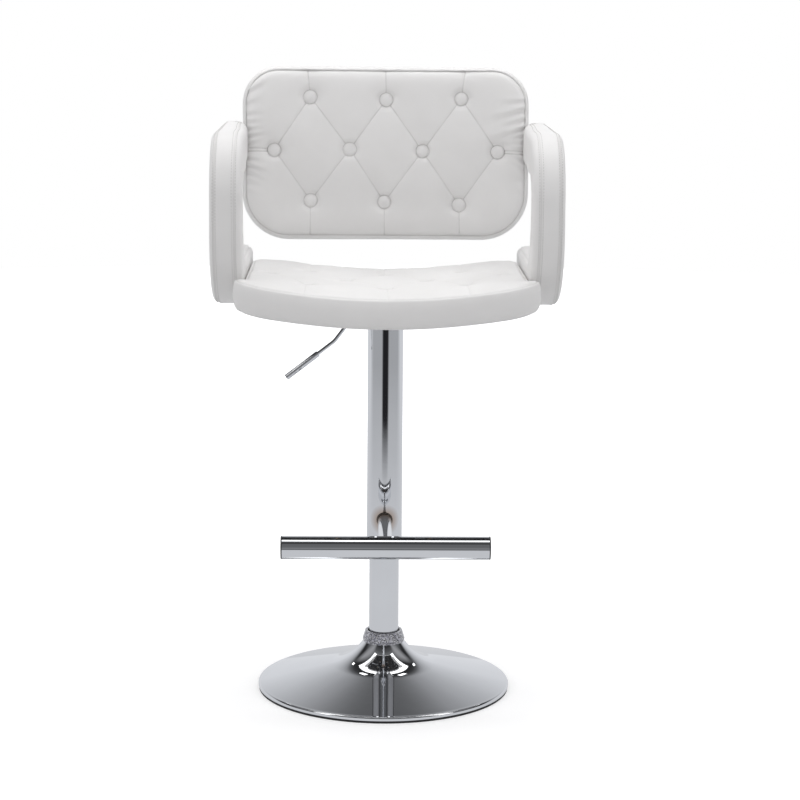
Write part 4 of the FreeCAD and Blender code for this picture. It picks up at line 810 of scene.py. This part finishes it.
def seat_cushion(spacing):
    """The sewn seat cushion at a given mesh spacing, and the number of points in its seam."""
    b = seat_buttons_at
    creases = [(p, q, 0.75, 0.18 if i % 2 else -0.18) for i, (p, q) in enumerate(diamond_creases(b))]
    for k, end, lap in (
        (0, (-126, -209), 0.15), (1, (1.5, -213), -0.15), (2, (125, -209), 0.15),
        (7, (-121, 188), 0.15), (8, (-2, 188), -0.15), (9, (125, 188), 0.15),
        (3, (-222, -10), 0.2), (6, (222, -9), 0.2),
    ):
        creases.append((b[k], end, 0.7, lap))
    cut = cut_panel(seat_plan, spacing, seat_side[0][0], b, creases)
    _, _, plan, _, edge = cut
    height, painted_shade = tufted(plan, b, creases, well=8.0, fold=0.7)
    height += -3.0 * np.exp(-edge / 5.5) + 4.6 * (1 - np.exp(-edge / 40.0)) - np.exp(-((edge / 1.1) ** 2))
    height += 0.45 * wobble(plan, 90.0, 3) * np.clip(edge / 30, 0, 1)
    height += 0.16 * (np.sin(plan[:, 0] / 4.1 + 2 * np.sin(plan[:, 1] / 19)) * np.exp(-edge / 6.0))
    height += 1.2 * np.exp(-(((edge - 3.0) / 2.2) ** 2)) * 0.35
    # Painted shade: the creases' shade is weakened on the seat, and a thin line of painted shade runs along
    # the seam.
    painted_shade = np.maximum(0.55 * painted_shade, 0.42 * np.exp(-((edge / 0.9) ** 2)))
    return sewn_cushion(
        "seat_cushion_cover", cut, spacing, on_seat(plan, -height), painted_shade, on_seat, seat_side, 6, seat_sway,
        ((12.4, 49.0), (12.4, 42.0), (12.6, 36.3)), under_seat,
    )


def seat_held(points):
    """Where the seat's cover can't move: under its buttons, below its edge and beside the arms."""
    near = np.min([np.hypot(points[:, 0] - x, points[:, 1] - y) for x, y in seat_buttons_at], axis=0)
    drop = saddle(points[:, 0], seat_top_curve) - points[:, 2]
    return (near < 14) | (drop > 38) | ((np.abs(points[:, 0]) > 212) & (points[:, 1] > -158) & (drop > 4))


seat_cover, _ = seat_cushion(fine_spacing)
fill_out(seat_cover, *filling(seat_cushion, seat_held))
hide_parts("seat_cushion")
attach(seat_cover, "seat_unit")


def stay_button(name):
    """A covered button: a shallow dome with its cover gathered round the rim."""
    profile = [
        (0.0, 3.1), (3.0, 2.95), (6.0, 2.45), (8.4, 1.7), (10.2, 0.6), (11.1, -0.7), (button_radius, -1.8),
        (10.9, -2.8), (9.6, -3.2),
    ]
    sides, pleats, pleat_depth = 32, 8, 0.012
    rings = []
    for j, (radius, height) in enumerate(profile[1:]):
        ring = []
        for k in range(sides):
            turn = 2 * math.pi * k / sides
            gather = 1 + (pleat_depth * math.cos(pleats * turn) if j > 3 else 0)
            ring.append((radius * gather * math.cos(turn), radius * gather * math.sin(turn), height))
        rings.append(ring)
    crown, back = (0, 0, profile[0][1]), (0, 0, profile[-1][1])
    return capped_form(name, crown, rings, back, white_leather, downward=True)


seat_button_sunk = 5.2
seat_button_marks = [(x, y, float(saddle(x, seat_top_curve)) - seat_button_sunk) for x, y in seat_buttons_at]
seat_button_ways = [(-x / seat_top_curve, 0.0, 1.0) for x, y in seat_buttons_at]
seat_button_set = repeated(
    "seat_button_set", [(seat_button_marks, seat_button_ways)], stay_button("seat_button"), white_leather
)
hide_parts("seat_buttons")
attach(seat_button_set, "seat_unit")

# Staples hold the dust cover, in a rounded rectangle inside its edge.
staple_line = even_loop([(-200, -190, 48), (200, -190, 48), (200, 171, 60), (-200, 171, 60)], 10.0)
level = np.zeros(len(staple_line))
staple_marks = np.column_stack([staple_line, saddle(staple_line[:, 0], seat_low_curve) - 0.1])
staple_ways = np.column_stack([staple_line[:, 0] / seat_low_curve, level, level - 1])
staples = repeated(
    "seat_staples", [(staple_marks, staple_ways)], bead("staple", 9.0, 1.3, 1.1, sides=5, rows=4), zinc_steel,
    pitch=26.0,
)
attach(staples, "seat_unit")

dress(plywood, "seat_board")
dress(black_cloth, "seat_dust_cover")

# ---- Back -----------------------------------------------------------------------
# A foam cushion on a bent plywood board, curved round the sitter and leaning back. The front
# panel is tufted with ten covered buttons; its sides are gathered into the seam of the boxing.

back_front_curve = 1000.0
back_lean = math.radians(-4.0)
lean = np.array(Matrix.Rotation(back_lean, 3, "X"))
back_place = Vector((0.0, 216.0, 857.0))
back_plan = [(-239, -144, 78), (239, -144, 78), (239, 144, 62), (-239, 144, 62)]
back_buttons_at = [
    (-126.0, 92.6), (0.8, 89.2), (126.0, 91.0),
    (-185.6, 4.5), (-59.8, 6.4), (62.0, 3.8), (187.0, 3.0),
    (-125.0, -79.2), (-1.6, -81.2), (123.6, -85.6),
]


def on_back(plan, depth):
    """Place of plan points (across, up) at a depth behind the curved front."""
    y = np.sqrt((back_front_curve + depth) ** 2 - plan[:, 0] ** 2) - back_front_curve
    upright = np.column_stack([plan[:, 0], y, plan[:, 1]])
    return upright @ lean.T + np.array(back_place)


# Gathers run in from a side seam: height of the root on the seam, rise towards the seam, length,
# depth and width. The far ends of the longer ones reach towards the outer buttons.
left_gathers = [
    (97, -0.55, 40, 2.0, 4.6), (80, -0.25, 26, 1.0, 4.4), (63, 0.02, 30, 1.4, 4.6),
    (50, 0.0, 34, 1.6, 4.2), (38, -0.04, 36, 1.6, 4.0), (26, -0.12, 38, 1.9, 3.8),
    (14, -0.18, 30, 1.5, 3.4), (-10, 0.16, 30, 1.6, 3.4),
    (-21, 0.36, 38, 2.0, 4.0), (-33, 0.44, 40, 1.6, 4.6), (-47, 0.36, 34, 1.1, 5.0), (-66, 0.2, 28, 0.8, 5.0),
]
right_gathers = [
    (87, 0.15, 42, 1.6, 4.4), (73, 0.34, 62, 2.8, 5.4), (57, 0.38, 40, 2.6, 4.8), (42, 0.36, 66, 3.0, 5.2),
    (30, 0.28, 46, 2.3, 4.6), (19, 0.15, 38, 1.9, 3.8), (9, 0.05, 28, 1.2, 2.8), (-12, -0.30, 38, 2.0, 4.2),
    (-25, -0.42, 42, 1.4, 5.2), (-44, 0.0, 28, 0.8, 5.4), (-62, 0.16, 26, 0.8, 5.2),
]


def gathered(points, seam_x, gathers):
    """Wrinkles that start at a side seam and die out towards the middle."""
    total = np.zeros(len(points))
    way = -1 if seam_x > 0 else 1
    for root, rise, length, depth, width in gathers:
        inward = (points[:, 0] - seam_x) * way
        middle = root - rise * inward
        fade = 1.35 * np.clip(1 - inward / (1.15 * length), 0, 1) * np.clip(inward / 1.5 + 0.5, 0, 1)
        off = (points[:, 1] - middle) / (width * (1 + inward / length * 0.8))
        total += depth * fade * (0.9 * np.exp(-((off - 0.9) ** 2)) - np.exp(-(off**2)))
    return total


def behind_back(plan):
    """Plan points where the foam rests on the board."""
    return on_back(plan, 33.8)


def back_sway(run, depth):
    """Slack of the back's boxing: short ripples at the seam and slow waves half way round."""
    ripples = 0.3 * np.sin(run / 4.9 + 1.9 * np.sin(run / 27)) * math.exp(-max(depth - 9, 0) / 8.0)
    return ripples + 0.5 * np.sin(run / 73) * math.sin(math.pi * min(depth / 53, 1))


# Profile of the boxing from the seam back and in: inset from the outline, depth behind the front.
back_side = [
    (7.4, 9.0), (6.3, 8.0), (4.4, 8.6), (2.2, 11.5), (0.7, 17), (0, 25), (0.1, 33), (0.9, 41), (2.6, 47),
    (5.4, 51), (8.6, 52.6), (11.9, 52.4),
]


def back_cushion(spacing):
    """The sewn back cushion at a given mesh spacing, and the number of points in its seam."""
    b = back_buttons_at
    creases = [(p, q, 0.8, 0.2 if i % 2 else -0.2) for i, (p, q) in enumerate(diamond_creases(b, 120.0))]
    for k, end, strength, lap in (
        (0, (-130.5, 138), 0.85, 0.2), (1, (-0.5, 138), 0.75, -0.2), (2, (132.5, 138), 0.85, 0.2),
        (7, (-126, -138), 0.7, 0.2), (8, (-1.0, -138), 0.7, -0.2), (9, (125, -138), 0.8, 0.2),
        (0, (-135, 138), 0.3, 0.3), (2, (128.0, 138), 0.3, 0.3),
    ):
        creases.append((b[k], end, strength, lap))
    for k, way, fall in ((3, -1, 0), (6, 1, 1.5)):
        x, z = b[k]
        for off in (3.0, -2.6):
            creases.append(((x + 8 * way, z + off * 0.8), (233 * way, z + off - fall), 0.95, 0.1))
    cut = cut_panel(back_plan, spacing, back_side[0][0], b, creases)
    _, _, plan, _, edge = cut
    height, painted_shade = tufted(plan, b, creases, well=10.5)
    height += -8.0 * np.exp(-edge / 7.0) + 3.4 * (1 - np.exp(-edge / 40.0)) - np.exp(-((edge / 1.1) ** 2))
    height += 1.4 * gathered(plan, -231.6, left_gathers) + 1.2 * gathered(plan, 231.6, right_gathers)
    height += 0.5 * wobble(plan, 95.0, 5) * np.clip(edge / 30, 0, 1)
    height += 0.14 * np.sin((plan[:, 0] + plan[:, 1]) / 3.7) * np.exp(-edge / 5.0)
    # Painted shade: a thin line of painted shade runs along the seam.
    painted_shade = np.maximum(painted_shade, 0.42 * np.exp(-((edge / 0.9) ** 2)))
    return sewn_cushion(
        "back_cushion_cover", cut, spacing, on_back(plan, -height), painted_shade, on_back, back_side, 7, back_sway,
        ((12.2, 50.5), (12.3, 42.0), (12.4, 33.8)), behind_back,
    )


def back_held(points):
    """Where the back's cover can't move: under its buttons, behind its edge and beside the arms."""
    local = (points - np.array(back_place)) @ lean
    near = np.min([np.hypot(local[:, 0] - x, local[:, 2] - z) for x, z in back_buttons_at], axis=0)
    depth = np.hypot(local[:, 0], local[:, 1] + back_front_curve) - back_front_curve
    beside_arm = (np.abs(local[:, 0]) > 228) & (np.abs(local[:, 2] - 17) < 45)
    return (near < 14) | (depth > 40) | beside_arm


back_cover, _ = back_cushion(fine_spacing)
fill_out(back_cover, *filling(back_cushion, back_held))
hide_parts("back_cushion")
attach(back_cover, "seat_unit")


def square_to_back(x, way):
    """Directions square to the curved back, forward for way -1 and rearward for way 1."""
    return np.column_stack([way * x / back_front_curve, np.full(len(x), way), np.zeros(len(x))]) @ lean.T


back_button_sunk = 4.6
back_marks = np.array(back_buttons_at)
back_button_marks = on_back(back_marks, back_button_sunk)
back_button_ways = square_to_back(back_marks[:, 0], -1)
back_button_set = repeated(
    "back_button_set", [(back_button_marks, back_button_ways)], stay_button("back_button"), white_leather
)
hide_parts("back_buttons")
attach(back_button_set, "seat_unit")

# The rear of the back is a thin padded panel, laid into the cushion's turned edge and sewn to it.
rear_top, rear_side, rear_inside = 50.6, 49.4, 46.4
rear_outline = even_loop(back_plan, 3.0)
rear_ways = outward_of(rear_outline)
rear_seam = rear_outline - 12.5 * rear_ways
rear_rings = [rear_seam - inset * rear_ways for inset in (0.0, 1.2, 3.0)]
rear_plan, rear_triangles = panel(rear_rings, [], 4.0)
rear_edge = to_loop(rear_plan, rear_seam)
rear_height = 2.2 * (1 - np.exp(-rear_edge / 9.0))
rear_height += 0.4 * wobble(rear_plan, 120.0, 11) * np.clip(rear_edge / 20, 0, 1)
rear_face = on_back(rear_plan, rear_top + rear_height)
rear_last = rear_seam - 0.4 * rear_ways
rear_walls = [on_back(rear_seam, rear_side), on_back(rear_last, rear_inside)]
rear_inner, rear_inner_triangles = panel([rear_last], [], 16.0)
rear_closing = (on_back(rear_inner, rear_inside), rear_inner_triangles)
# The last argument is a thin line of painted shade along the rear panel's seam.
back_panel = sewn_form(
    "back_rear_panel", rear_face, rear_triangles, rear_walls, rear_closing, white_leather,
    0.6 * np.exp(-((rear_edge / 1.2) ** 2)),
)
back_panel.data.flip_normals()
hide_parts("back_cover")
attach(back_panel, "seat_unit")
rear_line = rear_seam - 6.5 * rear_ways
rear_line = np.vstack([rear_line, rear_line[:1]])
stitch_pitch = 4.8
rear_chain = (on_back(rear_line, 51.8), square_to_back(rear_line[:, 0], 1))
rear_stitch = bead("rear_stitch", 3.3, 1.0, 1.0, rows=2)
rear_topstitch = repeated("rear_topstitch", [rear_chain], rear_stitch, white_thread, pitch=stitch_pitch)
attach(rear_topstitch, "seat_unit")

dress(plywood, "back_board")
dress(zinc_steel, "back_nuts", "back_bolts")

# ---- Arms -----------------------------------------------------------------------
# Each arm is a steel tube in the shape of a C, wrapped in foam and covered with four strips of
# leatherette. The outer strip is topstitched on both sides of its seams.

arm_middle_x = 246.0
arm_half_wide = 25.0
arm_half_thick = 35.0
arm_girth = 216.0
arm_low, arm_high = 671.0, 873.0
arm_low_rear, arm_high_rear = 195.0, 246.0
arm_low_bend, arm_high_bend = 100.0, 63.0
arm_front = -128.0
# The outer strip is sewn on along two lines of its face, the inner strip at the corners.
arm_seams = [(17.0, -35.0), (-12.5, -35.0), (19.5, 33.5), (-19.5, 33.5)]
arm_stitch_lines = [19.4, 14.8, -9.6, -15.6]


def arm_path(spacing):
    """Centre line of the C in depth and height, and the direction along it, from the low rear end."""
    low_bend, high_bend = arm_front + arm_low_bend, arm_front + arm_high_bend
    low_middle, high_middle = arm_low + arm_low_bend, arm_high - arm_high_bend
    line = [(arm_low_rear, arm_low), (low_bend, arm_low)]
    for a in np.linspace(0, math.pi / 2, 60):
        line.append((low_bend - arm_low_bend * math.sin(a), low_middle - arm_low_bend * math.cos(a)))
    line.append((arm_front, high_middle))
    for a in np.linspace(0, math.pi / 2, 40):
        line.append((high_bend - arm_high_bend * math.cos(a), high_middle + arm_high_bend * math.sin(a)))
    line.append((arm_high_rear, arm_high))
    line = np.array(line)
    length = lengths_of(line)
    keep = np.concatenate([[True], np.diff(length) > 1e-6])
    line, length = line[keep], length[keep]
    places = np.linspace(0, length[-1], round(length[-1] / spacing) + 1)
    spots = spaced(line, length, places)
    along = np.gradient(spots, axis=0)
    return spots, along / np.linalg.norm(along, axis=1)[:, None], places


def arm_section(count):
    """Section of the pad in mm: across, and inward to the C's opening, with rounded corners."""
    wide, thick = arm_half_wide, arm_half_thick
    corners = [(-wide, -thick, 12), (wide, -thick, 12), (wide, thick, 15), (-wide, thick, 15)]
    return even_loop(corners, arm_girth / count)[:count]


def beside_back(across, out, y, z):
    """Across places of the upper run, which narrows towards the back and ends, on its inner side, in a
    rounded end on the back's face."""
    near = np.clip((y + 50) / 220, 0, 1)
    near = near * near * (3 - 2 * near) * (z > 800)
    end = np.clip((y - 187) / 13, 0, 1) * (z > 800)
    limit = -arm_half_wide + 8.0 * near + 2.5 * near * np.clip((np.abs(out) - 17) / 18, 0, 1) ** 2
    limit = limit + (-5.8 - limit) * (1 - np.sqrt(1 - end**2))
    return arm_half_wide - (arm_half_wide - across) * (arm_half_wide - limit) / (2 * arm_half_wide)


def rounded_end(place, reach):
    """Inset of the section at a place within reach of an end of the pad, along a quarter circle."""
    if place >= reach:
        return 0.0
    return reach * (1 - math.sin(math.acos(min(1.0, 1 - place / reach))))


def seamed_section(section):
    """Swell, and share of painted shade, round a section, from its four seams and its lines of topstitching.
    """
    count = len(section)
    seam_at = [np.argmin(np.hypot(section[:, 0] - x, section[:, 1] - y)) for x, y in arm_seams]
    run = np.arange(count) * arm_girth / count
    swell, painted_shade = np.zeros(count), np.zeros(count)
    for i in seam_at:
        away = np.abs((run - run[i] + arm_girth / 2) % arm_girth - arm_girth / 2)
        swell -= 1.15 * np.exp(-((away / 1.3) ** 2)) - 0.45 * np.exp(-(((away - 3.4) / 1.6) ** 2))
        # Painted shade in each seam.
        painted_shade = np.maximum(painted_shade, 0.24 * np.exp(-((away / 1.2) ** 2)))
    for line in arm_stitch_lines:
        away = np.where(section[:, 1] < -30, np.abs(section[:, 0] - line), 99.0)
        swell -= 0.35 * np.exp(-((away / 1.2) ** 2))
        # Painted shade along each line of topstitching.
        painted_shade = np.maximum(painted_shade, 0.12 * np.exp(-((away / 1.0) ** 2)))
    return swell, painted_shade


def arm_pad(side):
    """One padded arm, right for side 1 and left for side -1, and the lines of its topstitching."""
    spots, along, places = arm_path(2.6)
    section = arm_section(92)
    ways = outward_of(section)
    count = len(section)
    inward_c = np.stack([along[:, 1], -along[:, 0]], 1)
    swell, painted_shade = seamed_section(section)
    low_end, high_end = 9.0, 5.0
    total = places[-1]
    outer = section[:, 1] < -30
    lines = np.array(arm_stitch_lines)

    def in_space(j, across, out, shift=0.0):
        """Points of the section at place j, moved along the arm by shift."""
        y = spots[j][0] + out * inward_c[j, 0] + shift * along[j, 0]
        z = spots[j][1] + out * inward_c[j, 1] + shift * along[j, 1]
        x = arm_middle_x + beside_back(across, out, y, z)
        return np.column_stack([x * side, y, z])

    def end_panel(j, inset, way):
        """Bulged panel that closes the end at place j."""
        flat = section + (swell - inset)[:, None] * ways
        plan, triangles = panel([flat], [], 4.5)
        bulge = 1.5 * (1 - np.exp(-to_loop(plan, flat) / 6.0)) * way
        return in_space(j, plan[:, 0], plan[:, 1], bulge), triangles

    rings, stitch_rows, stitch_ways = [], [], []
    for j, place in enumerate(places):
        inset = rounded_end(place, low_end) + rounded_end(total - place, high_end)
        bend = np.sin(place / 4.6) * np.exp(-(((place - 300) / 60) ** 2))
        bend += np.sin(place / 4.1) * np.exp(-(((place - 470) / 45) ** 2))
        inner = np.clip(section[:, 1] / arm_half_thick, 0, 1) ** 2
        waves = 0.35 * bend * inner + 0.25 * math.sin(place / 37.0)
        waves = waves + 0.3 * np.sin(section[:, 0] / 9 + place / 55)
        beside_seat = (section[:, 0] < -20) * min(1.0, max(0.0, (260 - place) / 30))
        rise = swell + waves * (1 - beside_seat) + 0.15 * beside_seat
        spot = section + (rise - inset)[:, None] * ways
        rings.append(in_space(j, spot[:, 0], spot[:, 1]))
        if low_end + 4 < place < total - 26:
            order = np.argsort(spot[outer, 0])
            height = np.interp(lines, spot[outer, 0][order], spot[outer, 1][order]) - 0.1
            stitch_rows.append(in_space(j, lines, height))
            stitch_ways.append((0.0, *-inward_c[j]))

    face, triangles = end_panel(len(spots) - 1, high_end, 1)
    closing = end_panel(0, low_end, -1)
    piece = sewn_form(
        "arm_pad_cover_right" if side > 0 else "arm_pad_cover_left",
        face, triangles, rings[-2:0:-1] + [closing[0][:count]], closing, white_leather,
        np.concatenate([np.zeros(len(face)), *[painted_shade] * (len(rings) - 1)]),
    )
    rows = np.array(stitch_rows)
    return piece, [(rows[:, k], stitch_ways) for k in range(rows.shape[1])]


def clear_of(piece, other, gap):
    """Move the points of a soft piece that lie in another piece out to its surface, gap in metres."""
    reach = 0.012
    work = bmesh.new()
    work.from_mesh(other.data)
    bmesh.ops.triangulate(work, faces=work.faces)
    tree = BVHTree.FromBMesh(work)
    work.free()
    for vertex in piece.data.vertices:
        near, way, _, away = tree.find_nearest(vertex.co, reach)
        if near is None:
            continue
        depth = (vertex.co - near).dot(way)
        if depth < gap and (depth < 0 or away < gap):
            vertex.co = near + way * gap
    piece.data.update()


arm_stitches = []
for side, name in ((1, "right"), (-1, "left")):
    pad, lines = arm_pad(side)
    arm_stitches += lines
    if side < 0:
        pad.data.flip_normals()
    clear_of(pad, back_cover, 0.0004)
    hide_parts("arm_pad_" + name)
    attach(pad, "seat_unit")

arm_stitch = bead("arm_stitch", 3.3, 1.0, 1.0, rows=2)
arm_topstitch = repeated("arm_topstitch", arm_stitches, arm_stitch, white_thread, pitch=stitch_pitch)
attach(arm_topstitch, "seat_unit")

dress(black_steel, "arm_frame_right", "arm_frame_left")
dress(zinc_steel, "arm_bolts", "arm_washers", "arm_nuts")

# ---- Studio ---------------------------------------------------------------------
# A wide pale floor, a large soft box overhead, one at each side and four small lamps round the
# stool. In the chrome the floor is grey and fades into a dark doorway far in front.


def ramp(tree, value, stops):
    """Grey levels along value, a little blue."""
    made = node_in(tree, "ShaderNodeValToRGB", {"Fac": value})
    while len(made.color_ramp.elements) < len(stops):
        made.color_ramp.elements.new(0.5)
    for element, (place, level) in zip(made.color_ramp.elements, stops):
        element.position = place
        element.color = (level * 0.97, level * 0.985, level * 1.02, 1)
    return made.outputs["Color"]


def sum_of(tree, operation, first, second):
    """One step of arithmetic on sockets or numbers."""
    return node_in(tree, "ShaderNodeMath", {0: first, 1: second}, operation=operation).outputs["Value"]


floor_radius = 6.0
floor_mesh = bpy.data.meshes.new("studio_floor")
floor_work = bmesh.new()
bmesh.ops.create_circle(floor_work, cap_ends=True, radius=floor_radius, segments=96)
floor_work.to_mesh(floor_mesh)
floor_work.free()
floor = placed("studio_floor", floor_mesh)
floor_paint = bpy.data.materials.new("studio_floor")
floor_paint.use_nodes = True
tree = floor_paint.node_tree
shader = tree.nodes["Principled BSDF"]
rays = node_in(tree, "ShaderNodeLightPath").outputs
where = node_in(tree, "ShaderNodeTexCoord").outputs["Object"]
reach = node_in(tree, "ShaderNodeVectorMath", {0: where}, operation="LENGTH").outputs["Value"]
far = ranged(tree, reach, 0.0, 1.0, 0.0, floor_radius)
backdrop = sum_of(tree, "MULTIPLY", rays["Is Camera Ray"], ranged(tree, far, 0.42, 1.0, 0.12, 0.4))
for key, value in (
    ("Base Color", (0.74, 0.74, 0.74)), ("Roughness", 0.9), ("Emission Color", (1, 1, 1)),
    ("Emission Strength", backdrop),
):
    feed(tree, shader.inputs[key], value)
floor_parts = node_in(tree, "ShaderNodeSeparateXYZ", {"Vector": where}).outputs
grey_ahead = ramp(tree, far, [(0.16, 0.68), (0.33, 0.57), (0.56, 0.44)])
grey_behind = ramp(tree, far, [(0.16, 0.68), (0.5, 0.74)])
grey = mixed(tree, ranged(tree, floor_parts["Y"], 0.0, 1.0, -0.3, 1.2), grey_ahead, grey_behind)
ahead_by = sum_of(tree, "MULTIPLY", floor_parts["Y"], -1.0)
beside = sum_of(tree, "ABSOLUTE", floor_parts["X"], 0.0)
slant = sum_of(tree, "DIVIDE", beside, sum_of(tree, "MAXIMUM", ahead_by, 0.01))
doorway = sum_of(
    tree, "MULTIPLY", ranged(tree, slant, 1.0, 0.0, 0.26, 0.44), ranged(tree, ahead_by, 0.0, 1.0, 1.55, 2.4)
)
glow = node_in(tree, "ShaderNodeEmission", {"Color": mixed(tree, doorway, grey, (0.018, 0.018, 0.02))})
seen = {"Fac": rays["Is Glossy Ray"], 1: shader.outputs["BSDF"], 2: glow.outputs["Emission"]}
seen = node_in(tree, "ShaderNodeMixShader", seen).outputs["Shader"]
feed(tree, tree.nodes["Material Output"].inputs["Surface"], seen)
floor_mesh.materials.append(floor_paint)

world = bpy.data.worlds.new("studio_room")
bpy.context.scene.world = world
world.use_nodes = True
tree = world.node_tree
direction = node_in(tree, "ShaderNodeTexCoord").outputs["Generated"]
parts = node_in(tree, "ShaderNodeSeparateXYZ", {"Vector": direction}).outputs
flat_parts = node_in(tree, "ShaderNodeCombineXYZ", {"Y": parts["Y"], "Z": parts["Z"]}).outputs["Vector"]
flat_length = node_in(tree, "ShaderNodeVectorMath", {0: flat_parts}, operation="LENGTH").outputs["Value"]
slope = sum_of(tree, "DIVIDE", parts["Z"], sum_of(tree, "MAXIMUM", flat_length, 0.05))
lift = ranged(tree, slope, 0.0, 1.0, -1.0, 1.0)
# Levels of the room from straight down (0) through the horizon (0.5) to straight up (1), by the sine of
# the height as it is seen from the side.
behind = ramp(tree, lift, [
    (0.0, 0.6), (0.5, 0.80), (0.63, 0.78), (0.72, 0.62), (0.76, 0.52), (0.79, 0.44), (0.82, 0.32),
    (0.85, 0.14), (0.88, 0.05), (0.905, 0.03),
])
ahead = ramp(tree, lift, [
    (0.0, 0.5), (0.5, 0.27), (0.638, 0.17), (0.72, 0.15), (0.86, 0.15), (0.894, 0.06), (0.915, 0.035),
    (0.957, 0.1), (0.987, 0.25),
])
facing = ranged(tree, parts["Y"], 0.0, 1.0, -0.5, 0.35)
room = mixed(tree, facing, ahead, behind)
sideways = ranged(tree, sum_of(tree, "ABSOLUTE", parts["X"], 0.0), 0.0, 1.0, 0.46, 0.60)
high = ranged(tree, parts["Z"], 0.0, 1.0, 0.62, 0.74)
room = mixed(tree, sum_of(tree, "MULTIPLY", sideways, high), room, (0.34, 0.34, 0.35))
rays = node_in(tree, "ShaderNodeLightPath").outputs
mirror_rays = {0: rays["Is Glossy Ray"], 1: rays["Is Transmission Ray"]}
mirror_rays = node_in(tree, "ShaderNodeMath", mirror_rays, operation="ADD", use_clamp=True).outputs["Value"]
soft_light = mixed(tree, mirror_rays, (0.55, 0.55, 0.56), room)
sky = mixed(tree, rays["Is Camera Ray"], soft_light, (1.0, 1.0, 1.0))
feed(tree, tree.nodes["Background"].inputs["Color"], sky)


def soft_box(name, place, aim, width, height, power):
    """Rectangular lamp in metres and watts, turned towards its aim."""
    lamp = bpy.data.lights.new(name, "AREA")
    lamp.shape = "RECTANGLE"
    lamp.size, lamp.size_y, lamp.energy = width, height, power
    holder = placed(name, lamp)
    holder.location = place
    holder.rotation_mode = "QUATERNION"
    holder.rotation_quaternion = (Vector(aim) - Vector(place)).to_track_quat("-Z", "Y")


soft_box("overhead_box", (0.0, 0.45, 3.0), (0, 0.45, 0.6), 3.0, 2.6, 47)
soft_box("left_box", (-2.6, -1.6, 1.9), (0, 0, 0.6), 0.9, 1.6, 11)
soft_box("right_box", (2.6, -1.6, 1.9), (0, 0, 0.6), 0.9, 1.6, 11)
small_lamps = [(-2.0, 2.7, 3.1), (-0.62, 2.35, 3.05), (0.62, 2.35, 3.05), (2.0, 2.7, 3.1)]
for number, place in enumerate(small_lamps):
    soft_box(f"small_lamp_{number}", place, (0, 0, 0), 0.26, 0.26, 0.7)

camera_height = 1.1014
camera_away = 3.544
camera_aside = 0.0389
camera_pitch = math.radians(10.01)
camera_turn = math.radians(-1.229)
camera_aim = math.radians(0.243)
camera_roll = math.radians(0.445)
camera = placed("studio_camera", bpy.data.cameras.new("studio_camera"))
bpy.context.scene.camera = camera
camera.data.sensor_width = 36.0
camera.data.lens = 100.6
camera.data.clip_end = 50.0
orbit = Matrix.Rotation(camera_turn, 4, "Z")
look = Vector((0, math.cos(camera_pitch), -math.sin(camera_pitch)))
look = orbit @ Matrix.Rotation(camera_aim, 4, "Z") @ look
aimed = look.to_track_quat("-Z", "Y").to_matrix().to_4x4() @ Matrix.Rotation(camera_roll, 4, "Z")
camera.matrix_world = Matrix.Translation(orbit @ Vector((camera_aside, -camera_away, camera_height))) @ aimed
bpy.context.scene.view_settings.view_transform = "Standard"

bpy.context.view_layer.update()
